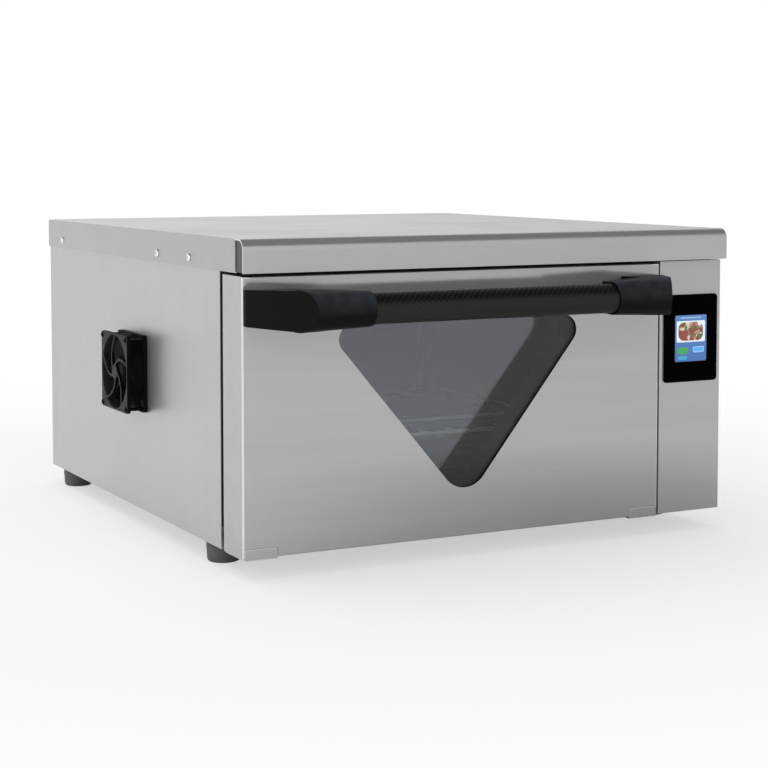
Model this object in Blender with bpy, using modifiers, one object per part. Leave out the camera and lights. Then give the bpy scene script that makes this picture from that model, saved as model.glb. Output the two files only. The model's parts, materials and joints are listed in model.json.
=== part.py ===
"""Countertop speed oven: a steel cabinet with a drop-down glazed door, a hot-air cavity and a side fan.

Metres, +Z up. Inside the script X runs to the right from the cabinet's middle, Y runs back from the
door's front face and Z runs up from the cabinet's underside. The datum empty moves all of it, so that
the middle of the whole oven's footprint, feet down, lies at the world's origin.
"""

import math

import bmesh
import bpy
from mathutils import Matrix, Vector

# Cabinet
CABINET_WIDTH = 0.620
CABINET_DEPTH = 0.610
OVEN_HEIGHT = 0.337
PANEL_SHEET = 0.0012
FIT = 0.0003
BASE_WALL_HEIGHT = 0.024
FRAME_RETURN = 0.014
CUT_OVERRUN = 0.004

# Top cover with its rounded front
COVER_SHEET = 0.0018
COVER_SIDE_GAP = 0.0004
COVER_LIP_HEIGHT = 0.036
COVER_FRONT_OVERHANG = 0.009
COVER_NOSE_RADIUS = 0.012
COVER_FLANGE_FROM_NOSE = 0.0217
NOSE_STEPS = 6

# Door
DOOR_WIDTH = 0.5305
DOOR_THICKNESS = 0.052
DOOR_TOP_GAP = 0.0035
DOOR_SHEET = 0.0015
DOOR_TRAY_DEPTH = 0.014
SEAL_GAP = 0.008

# Door window, a triangle that points down, with rounded corners
WINDOW_BELOW_DOOR_TOP = 0.0595
WINDOW_HALF_WIDTH = 0.1665
WINDOW_HEIGHT = 0.197
WINDOW_TOP_RADIUS = 0.015
WINDOW_BOTTOM_RADIUS = 0.029
WINDOW_INNER_MARGIN = 0.010
GLASS_THICKNESS = 0.004
GLASS_MARGIN = 0.012
WINDOW_FRAME_WALL = 0.0015
WINDOW_FRAME_MARGIN = 0.003
ARC_STEPS = 5

# Door handle
HANDLE_BELOW_DOOR_TOP = 0.0325
HANDLE_STANDOFF = 0.068
HANDLE_TUBE_DIAMETER = 0.032
HANDLE_TUBE_WALL = 0.002
HANDLE_END_INSET = 0.0018
HANDLE_END_LENGTH = 0.1175
HANDLE_END_SLANT = 0.0450
HANDLE_END_STRAIGHT = 0.010
HANDLE_FOOT_LENGTH = 0.052
HANDLE_FOOT_FILLET = 0.016
HANDLE_FOOT_HEIGHT = 0.0376
HANDLE_KNEE_RADIUS = 0.0225
HANDLE_COLLAR_WALL = 0.0030
HANDLE_TUBE_SEAT = 0.036
HANDLE_SCREW_RADIUS = 0.0025
HANDLE_SCREW_HEAD_RADIUS = 0.005
HANDLE_SCREW_HEAD = 0.0025
HANDLE_SCREW_GRIP = 0.018

# Door hinges
HINGE_AXIS_HEIGHT = 0.015
HINGE_PIN_RADIUS = 0.004
HINGE_FITTING_WIDTH = 0.040
HINGE_FITTING_CAP_HEIGHT = 0.010
HINGE_FITTING_DROP = 0.002
HINGE_LUG_DEPTH = 0.030
HINGE_LUG_HEIGHT = 0.014
HINGE_PIN_INSET = 0.006
HINGE_ARM_THICKNESS = 0.005
HINGE_ARM_RADIUS = 0.010
HINGE_ARM_REACH = 0.060
HINGE_ARM_TAIL_HEIGHT = 0.020
HINGE_ARM_GAP = 0.001
HINGE_SPRING_LENGTH = 0.026
HINGE_SPRING_WIRE = 0.0025
HINGE_PIN_OVERHANG = 0.001

# Control column
COLUMN_GAP = 0.0015
COLUMN_TOP_GAP = 0.0012
BEZEL_WIDTH = 0.0792
BEZEL_HEIGHT = 0.1039
BEZEL_THICKNESS = 0.002
BEZEL_CORNER = 0.0045
BEZEL_BELOW_COLUMN_TOP = 0.0404
SCREEN_WIDTH = 0.0464
SCREEN_HEIGHT = 0.0556
SCREEN_BELOW_BEZEL_TOP = 0.0244
MODULE_MARGIN = 0.006
MODULE_DEPTH = 0.007
BOARD_THICKNESS = 0.0016
BOARD_SPACER = 0.008
BOARD_SPACER_RADIUS = 0.003
BOARD_CHIP_WIDTH = 0.023
BOARD_CHIP_HEIGHT = 0.004
CABLE_HOLE_WIDTH = 0.050
CABLE_HOLE_HEIGHT = 0.060

# Cavity
CAVITY_WIDTH = 0.360
CAVITY_HEIGHT = 0.200
CAVITY_DEPTH = 0.380
CAVITY_BOTTOM = 0.050
LINER_SHEET = 0.0012
INSULATION = 0.025
SEAL_WIDTH = 0.012
SEAL_MARGIN = 0.002
RACK_HEIGHT = 0.052
RAIL_WIDTH = 0.010
RAIL_HEIGHT = 0.006
RAIL_LENGTH = 0.270
RAIL_FROM_FRONT = 0.015
RACK_WIRE = 0.005
RACK_CROSS_WIRE = 0.003
RACK_SIDE_CLEARANCE = 0.003
RACK_CROSS_WIRES = 9
PLATE_INSET = 0.020
PLATE_HEIGHT = 0.014
PLATE_SHEET = 0.0015

# Fan and heater behind the cavity
BAFFLE_FROM_BACK = 0.048
BAFFLE_SHEET = 0.0012
BAFFLE_INTAKE_RADIUS = 0.045
BAFFLE_SLOT_WIDTH = 0.012
BAFFLE_SLOT_HEIGHT = 0.120
BAFFLE_SLOT_INSET = 0.018
FAN_RADIUS = 0.055
FAN_DEPTH = 0.026
FAN_PLATE = 0.0015
FAN_BLADES = 10
FAN_BLADE_SHEET = 0.0015
FAN_BLADE_INNER_RADIUS = 0.030
FAN_BLADE_LEAN = math.pi / 6
FAN_HUB_RADIUS = 0.010
FAN_FROM_BACK = 0.008
SHAFT_RADIUS = 0.004
SHAFT_CLEARANCE = 0.001
HEATER_RADIUS = 0.072
HEATER_TUBE_RADIUS = 0.0033
HEATER_FROM_BACK = 0.022
HEATER_OPEN_ANGLE = 0.35
HEATER_STEPS = 28
HEATER_TAIL = 0.012
MOTOR_RADIUS = 0.040
MOTOR_LENGTH = 0.055
MOTOR_FLANGE_RADIUS = 0.050
MOTOR_FLANGE = 0.003
MOTOR_SHAFT_SEAT = 0.030
THERMOSTAT_RADIUS = 0.008
THERMOSTAT_HEAD = 0.010
THERMOSTAT_FROM_FRONT = 0.190
PROBE_RADIUS = 0.002
PROBE_REACH = 0.045
PROBE_HEAD_RADIUS = 0.005
PROBE_HEAD = 0.010
PROBE_FROM_FRONT = 0.240
PROBE_BELOW_CAVITY_TOP = 0.030

# Power board on the base, and the cord's gland in the back
POWER_BOARD_WIDTH = 0.100
POWER_BOARD_DEPTH = 0.150
POWER_BOARD_STANDOFF = 0.010
POWER_BOARD_FROM_SIDE = 0.020
POWER_BOARD_FROM_BACK = 0.060
TRANSFORMER_WIDTH = 0.042
TRANSFORMER_DEPTH = 0.050
TRANSFORMER_HEIGHT = 0.035
TERMINAL_WIDTH = 0.060
TERMINAL_DEPTH = 0.016
TERMINAL_HEIGHT = 0.018
POWER_PART_INSET = 0.010
GLAND_RADIUS = 0.013
GLAND_SHANK_RADIUS = 0.009
GLAND_BORE_RADIUS = 0.005
GLAND_TIP_RADIUS = 0.0091
GLAND_REACH = 0.012
GLAND_NUT = 0.006
GLAND_FROM_SIDE = 0.070
GLAND_HEIGHT = 0.060
VENT_SLOTS = 9
VENT_SLOT_LENGTH = 0.160
VENT_SLOT_HEIGHT = 0.005
VENT_SLOT_CORNER = 0.002
VENT_PITCH = 0.014
VENT_BELOW_TOP = 0.070

# Feet
FOOT_HEIGHT = 0.0236
FOOT_TOP_RADIUS = 0.0195
FOOT_BOTTOM_RADIUS = 0.0180
FOOT_EDGE_ROUND = 0.003
FOOT_STUD_RADIUS = 0.004
FOOT_STUD_LENGTH = 0.006
FOOT_FROM_SIDE = 0.022
FOOT_FROM_CABINET_FRONT = 0.047
FOOT_FROM_CABINET_BACK = 0.044

# Screws in the cover's side flanges
SCREW_HEAD_RADIUS = 0.0045
SCREW_HEAD_HEIGHT = 0.0020
SCREW_SHANK_RADIUS = 0.0020
SCREW_SHANK_LENGTH = 0.008
COVER_SCREW_BELOW_TOP = 0.0260
COVER_SCREW_FRONT = 0.0839
COVER_SCREW_SECOND = 0.1844
COVER_SCREW_FROM_BACK = 0.0626

# Cooling fan on the left side
COOLER_SIZE = 0.092
COOLER_DEPTH = 0.0254
COOLER_FROM_CABINET_FRONT = 0.273
COOLER_HEIGHT = 0.165
COOLER_CORNER = 0.004
COOLER_FLANGE = 0.0045
COOLER_BORE_RADIUS = 0.0435
COOLER_BARREL_WALL = 0.0018
COOLER_SCREW_SPACING = 0.0825
COOLER_HUB_RADIUS = 0.0175
COOLER_STRUTS = 5
COOLER_STRUT_HUB_RADIUS = 0.0105
COOLER_STRUT_WIDTH = 0.0036
COOLER_STRUT_DEPTH = 0.0035
COOLER_STRUT_SWEEP = 1.22
COOLER_STRUT_START = 0.44
COOLER_STRUT_CURL_SHARE = 0.6
COOLER_STRUT_STEPS = 8
COOLER_TIP_GAP = 0.0015
COOLER_BLADES = 7
COOLER_BLADE_SHEET = 0.0016
COOLER_BLADE_TILT = 0.62
COOLER_BLADE_CHORD = 0.022
COOLER_BLADE_ROOT_CHORD = 0.0128
COOLER_SCREW_HEAD_RADIUS = 0.0035
COOLER_SCREW_HEAD_HEIGHT = 0.0015
COOLER_SCREW_SHANK_RADIUS = 0.0018
COOLER_AXLE_RADIUS = 0.0025

# Smoothness
MERGE_DISTANCE = 0.00002
FINE_SIDES = 32
MEDIUM_SIDES = 24
COARSE_SIDES = 16
SMALL_SIDES = 12
SMOOTH_ANGLE = 0.7

# Places that several pieces share
HALF_WIDTH = CABINET_WIDTH / 2
CABINET_FRONT = DOOR_THICKNESS + SEAL_GAP
CABINET_BACK = CABINET_FRONT + CABINET_DEPTH
COVER_UNDERSIDE = OVEN_HEIGHT - COVER_SHEET
SIDE_TOP = COVER_UNDERSIDE - FIT
INSIDE_X = HALF_WIDTH - 2 * (PANEL_SHEET + FIT)
COVER_LIP_BOTTOM = OVEN_HEIGHT - COVER_LIP_HEIGHT
DOOR_LEFT = -HALF_WIDTH
DOOR_RIGHT = DOOR_LEFT + DOOR_WIDTH
DOOR_MIDDLE = (DOOR_LEFT + DOOR_RIGHT) / 2
DOOR_TOP = COVER_LIP_BOTTOM - DOOR_TOP_GAP
HINGE_Y = DOOR_THICKNESS / 2
HINGE_AXIS = Vector((0, HINGE_Y, HINGE_AXIS_HEIGHT))
HANDLE_Z = DOOR_TOP - HANDLE_BELOW_DOOR_TOP
COLUMN_LEFT = DOOR_RIGHT + COLUMN_GAP
COLUMN_TOP = COVER_LIP_BOTTOM - COLUMN_TOP_GAP
COLUMN_MIDDLE = (COLUMN_LEFT + HALF_WIDTH) / 2
LINER_FRONT = CABINET_FRONT + PANEL_SHEET + FIT
CAVITY_BACK = LINER_FRONT + CAVITY_DEPTH
CAVITY_LEFT = DOOR_MIDDLE - CAVITY_WIDTH / 2
CAVITY_RIGHT = DOOR_MIDDLE + CAVITY_WIDTH / 2
CAVITY_TOP = CAVITY_BOTTOM + CAVITY_HEIGHT
FAN_Z = (CAVITY_BOTTOM + CAVITY_TOP) / 2
INSULATION_BACK = CAVITY_BACK + LINER_SHEET + FIT + INSULATION
BEZEL_TOP = COLUMN_TOP - BEZEL_BELOW_COLUMN_TOP
SCREEN_TOP = BEZEL_TOP - SCREEN_BELOW_BEZEL_TOP
SCREEN_MIDDLE_Z = SCREEN_TOP - SCREEN_HEIGHT / 2
COOLER_Y = CABINET_FRONT + COOLER_FROM_CABINET_FRONT
COOLER_FACE = -HALF_WIDTH - FIT - COOLER_DEPTH
COVER_HALF_WIDTH = HALF_WIDTH + COVER_SIDE_GAP + COVER_SHEET

# The whole oven's box, which puts the origin under its middle
OVEN_LEFT = COOLER_FACE - FIT - COOLER_SCREW_HEAD_HEIGHT
OVEN_RIGHT = COVER_HALF_WIDTH + FIT + SCREW_HEAD_HEIGHT
OVEN_FRONT = -HANDLE_STANDOFF - HANDLE_KNEE_RADIUS
OVEN_REAR = CABINET_BACK + FIT + GLAND_REACH
DATUM = Vector((-(OVEN_LEFT + OVEN_RIGHT) / 2, -(OVEN_FRONT + OVEN_REAR) / 2, FOOT_HEIGHT))

# Finishes: colour, roughness, metallic
FINISHES = {
    "brushed_steel": ((0.56, 0.56, 0.55, 1.0), 0.34, 1.0),
    "side_steel": ((0.52, 0.53, 0.56, 1.0), 0.38, 1.0),
    "bright_steel": ((0.75, 0.75, 0.74, 1.0), 0.20, 1.0),
    "galvanised_steel": ((0.50, 0.52, 0.54, 1.0), 0.48, 1.0),
    "dark_enamel": ((0.035, 0.036, 0.040, 1.0), 0.42, 0.0),
    "smoked_glass": ((0.10, 0.11, 0.12, 1.0), 0.06, 0.0),
    "black_glass": ((0.006, 0.006, 0.007, 1.0), 0.05, 0.0),
    "screen": ((0.03, 0.16, 0.45, 1.0), 0.15, 0.0),
    "black_plastic": ((0.012, 0.012, 0.013, 1.0), 0.42, 0.0),
    "carbon_tube": ((0.018, 0.020, 0.018, 1.0), 0.30, 0.0),
    "rubber": ((0.03, 0.032, 0.035, 1.0), 0.75, 0.0),
    "silicone": ((0.05, 0.05, 0.055, 1.0), 0.65, 0.0),
    "mineral_wool": ((0.62, 0.58, 0.44, 1.0), 0.95, 0.0),
    "circuit_board": ((0.02, 0.16, 0.06, 1.0), 0.50, 0.0),
    "motor_casing": ((0.30, 0.31, 0.33, 1.0), 0.45, 1.0),
    "heater_sheath": ((0.16, 0.15, 0.15, 1.0), 0.50, 1.0),
}


def clear_scene():
    for obj in list(bpy.data.objects):
        bpy.data.objects.remove(obj)
    for collection in list(bpy.data.collections):
        bpy.data.collections.remove(collection)


def new_collection(name):
    collection = bpy.data.collections.new(name)
    bpy.context.scene.collection.children.link(collection)
    return collection


def new_empty(name, location, parent=None):
    empty = bpy.data.objects.new(name, None)
    parts.objects.link(empty)
    empty.location = location
    empty.parent = parent
    return empty


def give_material(obj, finish):
    """Each piece gets a material of its own, in one of the oven's finishes."""
    colour, roughness, metallic = FINISHES[finish]
    material = bpy.data.materials.new(obj.name + "_" + finish)
    material.use_nodes = True
    shader = material.node_tree.nodes["Principled BSDF"]
    shader.inputs["Base Color"].default_value = colour
    shader.inputs["Roughness"].default_value = roughness
    shader.inputs["Metallic"].default_value = metallic
    material.diffuse_color = colour
    obj.data.materials.append(material)


def place(name, mesh, location, finish=None, parent=None):
    """Puts a mesh at a place given in the oven's own frame. Without a finish it becomes a helper shape."""
    obj = bpy.data.objects.new(name, mesh)
    holder = parent or datum
    obj.parent = holder
    offset = holder.location if holder is not datum else Vector()
    obj.location = Vector(location) - offset
    if finish is None:
        helpers.objects.link(obj)
        obj.hide_render = True
        obj.display_type = "WIRE"
    else:
        parts.objects.link(obj)
        give_material(obj, finish)
    return obj


def mesh_from(bm, name):
    mesh = bpy.data.meshes.new(name)
    bm.to_mesh(mesh)
    bm.free()
    return mesh


def box(name, low, high, finish=None, parent=None):
    """A block between two opposite corners."""
    low, high = Vector(low), Vector(high)
    bm = bmesh.new()
    bmesh.ops.create_cube(bm, size=1, matrix=Matrix.Diagonal((high - low).to_4d()))
    return place(name, mesh_from(bm, name), (low + high) / 2, finish, parent)


def open_box(name, low, high, wall, open_side, finish, parent=None):
    """A folded sheet tray between two corners. open_side is the direction that its missing face looks in."""
    low, high = Vector(low), Vector(high)
    bm = bmesh.new()
    bmesh.ops.create_cube(bm, size=1, matrix=Matrix.Diagonal((high - low).to_4d()))
    missing = max(bm.faces, key=lambda face: face.normal.dot(Vector(open_side)))
    bmesh.ops.delete(bm, geom=[missing], context="FACES")
    obj = place(name, mesh_from(bm, name), (low + high) / 2, finish, parent)
    thicken(obj, wall)
    return obj


def thicken(obj, wall):
    """Gives an open surface its sheet's thickness, inwards."""
    solidify = obj.modifiers.new("sheet", "SOLIDIFY")
    solidify.thickness = wall
    solidify.offset = -1
    solidify.use_even_offset = True


def cylinder_mesh(name, radius, length, axis, sides, end_radius=None):
    """A closed cylinder or cone about its middle, along X, Y or Z."""
    bm = bmesh.new()
    top = radius if end_radius is None else end_radius
    bmesh.ops.create_cone(
        bm, cap_ends=True, segments=sides, radius1=radius, radius2=top, depth=length, matrix=along(axis)
    )
    return mesh_from(bm, name)


def along(axis):
    """The turn that takes Z to the named axis."""
    if axis == "X":
        return Matrix.Rotation(math.pi / 2, 4, "Y")
    if axis == "Y":
        return Matrix.Rotation(-math.pi / 2, 4, "X")
    return Matrix.Identity(4)


def rod(name, start, end, radius, finish=None, parent=None, sides=COARSE_SIDES):
    """A round bar between two points that differ along one axis only."""
    start, end = Vector(start), Vector(end)
    axis = max("XYZ", key=lambda letter: abs((end - start)["XYZ".index(letter)]))
    mesh = cylinder_mesh(name, radius, (end - start).length, axis, sides)
    shade_round(mesh)
    return place(name, mesh, (start + end) / 2, finish, parent)


def shade_round(mesh):
    mesh.shade_smooth()
    mesh.set_sharp_from_angle(angle=SMOOTH_ANGLE)


def turned(name, profile, axis, location, finish=None, parent=None, sides=FINE_SIDES, ring=False):
    """A turned shape. The profile's (radius, height) points run down its outer side, from its top."""
    bm = bmesh.new()
    verts = [bm.verts.new((radius, 0, height)) for radius, height in profile]
    for first, second in zip(verts, verts[1:]):
        bm.edges.new((first, second))
    if ring:
        bm.edges.new((verts[-1], verts[0]))
    obj = place(name, mesh_from(bm, name), location, finish, parent)
    obj.rotation_euler = along(axis).to_euler()
    screw = obj.modifiers.new("turn", "SCREW")
    screw.steps = sides
    screw.render_steps = sides
    screw.use_merge_vertices = True
    screw.merge_threshold = MERGE_DISTANCE
    screw.use_smooth_shade = True
    return obj


def outline_mesh(name, points, thickness, axis):
    """A flat outline made solid. Its points are (Y, Z) across X, (X, Z) across Y or (X, Y) across Z."""
    curve = bpy.data.curves.new(name, "CURVE")
    curve.dimensions = "2D"
    curve.fill_mode = "BOTH"
    curve.extrude = thickness / 2
    spline = curve.splines.new("POLY")
    spline.points.add(len(points) - 1)
    for point, (across, up) in zip(spline.points, points):
        point.co = (across, up, 0, 1)
    spline.use_cyclic_u = True
    return curve_to_mesh(name, curve, standing(axis))


def standing(axis):
    """The turn that stands a flat outline up across the named axis."""
    if axis == "X":
        return Matrix(((0, 0, 1, 0), (1, 0, 0, 0), (0, 1, 0, 0), (0, 0, 0, 1)))
    if axis == "Y":
        return Matrix(((1, 0, 0, 0), (0, 0, -1, 0), (0, 1, 0, 0), (0, 0, 0, 1)))
    return Matrix.Identity(4)


def curve_to_mesh(name, curve, turn=None):
    """Makes a curve a closed mesh, with its caps welded on."""
    shape = bpy.data.objects.new(name + "_curve", curve)
    helpers.objects.link(shape)
    graph = bpy.context.evaluated_depsgraph_get()
    mesh = bpy.data.meshes.new_from_object(shape.evaluated_get(graph))
    bpy.data.objects.remove(shape)
    bm = bmesh.new()
    bm.from_mesh(mesh)
    bmesh.ops.remove_doubles(bm, verts=bm.verts, dist=MERGE_DISTANCE)
    bmesh.ops.recalc_face_normals(bm, faces=bm.faces)
    if turn is not None:
        bm.transform(turn)
    bm.to_mesh(mesh)
    bm.free()
    return mesh


def wire_mesh(name, points, radius, closed=False):
    """A round wire along a list of points."""
    curve = bpy.data.curves.new(name, "CURVE")
    curve.dimensions = "3D"
    curve.bevel_depth = radius
    curve.bevel_resolution = 2
    curve.use_fill_caps = not closed
    spline = curve.splines.new("POLY")
    spline.points.add(len(points) - 1)
    for point, place_on_wire in zip(spline.points, points):
        point.co = (*place_on_wire, 1)
    spline.use_cyclic_u = closed
    return curve_to_mesh(name, curve)


def merged_mesh(name, meshes_and_moves):
    """Copies of meshes, each moved by its own matrix, in one mesh. They don't touch each other."""
    bm = bmesh.new()
    for mesh, move in meshes_and_moves:
        copy = mesh.copy()
        copy.transform(move)
        bm.from_mesh(copy)
        bpy.data.meshes.remove(copy)
    return mesh_from(bm, name)


def combine(obj, helper, operation):
    boolean = obj.modifiers.new(helper.name, "BOOLEAN")
    boolean.operation = operation
    boolean.solver = "EXACT"
    boolean.object = helper


def cut(obj, *cutters):
    for cutter in cutters:
        combine(obj, cutter, "DIFFERENCE")


def join(obj, *others):
    for other in others:
        combine(obj, other, "UNION")


def rounded_outline(corners, steps=ARC_STEPS):
    """Points of a polygon whose corners, each given as (point, radius), are rounded by arcs."""
    points = []
    count = len(corners)
    for index, (corner, radius) in enumerate(corners):
        corner = Vector(corner)
        before = (Vector(corners[index - 1][0]) - corner).normalized()
        after = (Vector(corners[(index + 1) % count][0]) - corner).normalized()
        if radius == 0:
            points.append(tuple(corner))
            continue
        half_angle = before.angle(after) / 2
        middle = corner + (before + after).normalized() * radius / math.sin(half_angle)
        start = corner + before * radius / math.tan(half_angle) - middle
        turn = -start.angle_signed(corner + after * radius / math.tan(half_angle) - middle)
        for step in range(steps + 1):
            angle = turn * step / steps
            cosine, sine = math.cos(angle), math.sin(angle)
            arm = Vector((start.x * cosine - start.y * sine, start.x * sine + start.y * cosine))
            points.append(tuple(middle + arm))
    return points


def rounded_rectangle(width, height, radius):
    across, up = width / 2, height / 2
    corners = ((-across, -up), (across, -up), (across, up), (-across, up))
    return rounded_outline([(corner, radius) for corner in corners])


def window_outline(margin):
    """The door window's rounded triangle, grown by a margin on every side, as (X, Z) from its top middle."""
    lean = math.hypot(WINDOW_HALF_WIDTH, WINDOW_HEIGHT)
    spread = margin * (lean + WINDOW_HALF_WIDTH) / WINDOW_HEIGHT
    drop = margin * lean / WINDOW_HALF_WIDTH
    left = ((-WINDOW_HALF_WIDTH - spread, margin), WINDOW_TOP_RADIUS + margin)
    bottom = ((0, -WINDOW_HEIGHT - drop), WINDOW_BOTTOM_RADIUS + margin)
    right = ((WINDOW_HALF_WIDTH + spread, margin), WINDOW_TOP_RADIUS + margin)
    return rounded_outline((left, bottom, right))


def make_base_pan():
    """The floor, folded up along both sides."""
    low = (-HALF_WIDTH + PANEL_SHEET + FIT, CABINET_FRONT, 0)
    high = (HALF_WIDTH - PANEL_SHEET - FIT, CABINET_BACK, BASE_WALL_HEIGHT)
    pan = box("base_pan", low, high, "galvanised_steel")
    inside_low = (-INSIDE_X - FIT, CABINET_FRONT - CUT_OVERRUN, PANEL_SHEET)
    inside_high = (INSIDE_X + FIT, CABINET_BACK + CUT_OVERRUN, BASE_WALL_HEIGHT + CUT_OVERRUN)
    cut(pan, box("base_pan_inside", inside_low, inside_high))
    for place_name, x, y in foot_places():
        hole_low = (x, y, -CUT_OVERRUN)
        hole_high = (x, y, PANEL_SHEET + CUT_OVERRUN)
        radius = FOOT_STUD_RADIUS + FIT
        cut(pan, rod("foot_hole_" + place_name, hole_low, hole_high, radius, sides=SMALL_SIDES))


def foot_places():
    left = -HALF_WIDTH + FOOT_FROM_SIDE
    front = CABINET_FRONT + FOOT_FROM_CABINET_FRONT
    back = CABINET_BACK - FOOT_FROM_CABINET_BACK
    return (
        ("front_left", left, front),
        ("front_right", -left, front),
        ("back_left", left, back),
        ("back_right", -left, back),
    )


def make_feet():
    """Four rubber feet. Each has a stud that stands up through the base."""
    middle = FOOT_EDGE_ROUND * (1 - math.cos(math.pi / 4))
    profile = (
        (0, FOOT_STUD_LENGTH),
        (FOOT_STUD_RADIUS, FOOT_STUD_LENGTH),
        (FOOT_STUD_RADIUS, -FIT),
        (FOOT_TOP_RADIUS, -FIT),
        (FOOT_BOTTOM_RADIUS, -FOOT_HEIGHT + FOOT_EDGE_ROUND),
        (FOOT_BOTTOM_RADIUS - middle, -FOOT_HEIGHT + middle),
        (FOOT_BOTTOM_RADIUS - FOOT_EDGE_ROUND, -FOOT_HEIGHT),
        (0, -FOOT_HEIGHT),
    )
    for place_name, x, y in foot_places():
        turned("foot_" + place_name, profile, "Z", (x, y, 0), "rubber", sides=MEDIUM_SIDES)


def cover_screw_places():
    """Where the cover's screws go, as (name, side, Y)."""
    front = CABINET_FRONT + COVER_SCREW_FRONT
    second = CABINET_FRONT + COVER_SCREW_SECOND
    back = CABINET_BACK - COVER_SCREW_FROM_BACK
    rows = (("front", front), ("middle", second), ("back", back))
    return [(side + "_" + row, sign, y) for side, sign in (("left", -1), ("right", 1)) for row, y in rows]


def make_side_panels():
    for name, sign, finish in (("left_side_panel", -1, "side_steel"), ("right_side_panel", 1, "side_steel")):
        outer, inner = sign * HALF_WIDTH, sign * (HALF_WIDTH - PANEL_SHEET)
        low = (min(outer, inner), CABINET_FRONT, 0)
        high = (max(outer, inner), CABINET_BACK, SIDE_TOP)
        panel = box(name, low, high, finish)
        for place_name, side, y in cover_screw_places():
            if side == sign:
                cut(panel, cover_screw_hole(place_name + "_panel", side, y))
        if sign < 0:
            start = (outer - CUT_OVERRUN, COOLER_Y, COOLER_HEIGHT)
            end = (inner + CUT_OVERRUN, COOLER_Y, COOLER_HEIGHT)
            cut(panel, rod("cooler_hole", start, end, COOLER_BORE_RADIUS, sides=FINE_SIDES))
            for place_name, y, z in cooler_screw_places():
                start = (outer - CUT_OVERRUN, y, z)
                end = (inner + CUT_OVERRUN, y, z)
                radius = COOLER_SCREW_SHANK_RADIUS + FIT
                cut(panel, rod("panel_hole_" + place_name, start, end, radius, sides=SMALL_SIDES))


def cover_screw_hole(name, side, y):
    z = OVEN_HEIGHT - COVER_SCREW_BELOW_TOP
    start = (side * (HALF_WIDTH - PANEL_SHEET - CUT_OVERRUN), y, z)
    end = (side * (COVER_HALF_WIDTH + CUT_OVERRUN), y, z)
    return rod("screw_hole_" + name, start, end, SCREW_SHANK_RADIUS + FIT, sides=SMALL_SIDES)


def make_cover_screws():
    """Three pan-head screws hold the cover's flange on each side."""
    head = FIT + SCREW_HEAD_HEIGHT
    profile = (
        (0, head),
        (SCREW_HEAD_RADIUS / 2, head),
        (SCREW_HEAD_RADIUS, FIT + SCREW_HEAD_HEIGHT / 2),
        (SCREW_HEAD_RADIUS, FIT),
        (SCREW_SHANK_RADIUS, FIT),
        (SCREW_SHANK_RADIUS, FIT - SCREW_SHANK_LENGTH),
        (0, FIT - SCREW_SHANK_LENGTH),
    )
    for place_name, side, y in cover_screw_places():
        location = (side * COVER_HALF_WIDTH, y, OVEN_HEIGHT - COVER_SCREW_BELOW_TOP)
        screw = turned("cover_screw_" + place_name, profile, "X", location, "bright_steel", sides=SMALL_SIDES)
        if side < 0:
            screw.rotation_euler.z += math.pi


def cover_profile():
    """The cover's section as (Y, Z): up the back, forward along the top, round the nose, down the lip."""
    front = -COVER_FRONT_OVERHANG
    nose_y, nose_z = front + COVER_NOSE_RADIUS, OVEN_HEIGHT - COVER_NOSE_RADIUS
    back = CABINET_BACK + COVER_SIDE_GAP + COVER_SHEET
    points = [(back, COVER_LIP_BOTTOM), (back, OVEN_HEIGHT), (front + COVER_FLANGE_FROM_NOSE, OVEN_HEIGHT)]
    for step in range(NOSE_STEPS + 1):
        angle = math.pi / 2 * step / NOSE_STEPS
        y = nose_y - COVER_NOSE_RADIUS * math.sin(angle)
        points.append((y, nose_z + COVER_NOSE_RADIUS * math.cos(angle)))
    points.append((front, COVER_LIP_BOTTOM))
    return points


def make_top_cover():
    """One folded sheet: a top, a rounded front lip, a back flange and a flange down each side."""
    bm = bmesh.new()
    profile = cover_profile()
    left = [bm.verts.new((-COVER_HALF_WIDTH, y, z)) for y, z in profile]
    right = [bm.verts.new((COVER_HALF_WIDTH, y, z)) for y, z in profile]
    for index in range(len(profile) - 1):
        bm.faces.new((left[index], left[index + 1], right[index + 1], right[index]))
    bmesh.ops.recalc_face_normals(bm, faces=bm.faces)
    top = max(bm.faces, key=lambda face: face.calc_area())
    if top.normal.z < 0:
        bmesh.ops.reverse_faces(bm, faces=bm.faces)
    cover = place("top_cover", mesh_from(bm, "top_cover"), (0, 0, 0), "brushed_steel")
    thicken(cover, COVER_SHEET)
    for name, side in (("left", -1), ("right", 1)):
        outer, inner = side * COVER_HALF_WIDTH, side * (COVER_HALF_WIDTH - COVER_SHEET)
        low = (min(outer, inner), profile[2][0], COVER_LIP_BOTTOM)
        high = (max(outer, inner), profile[0][0], OVEN_HEIGHT)
        join(cover, box("cover_flange_" + name, low, high))
    for place_name, side, y in cover_screw_places():
        cut(cover, cover_screw_hole(place_name + "_cover", side, y))


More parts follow.
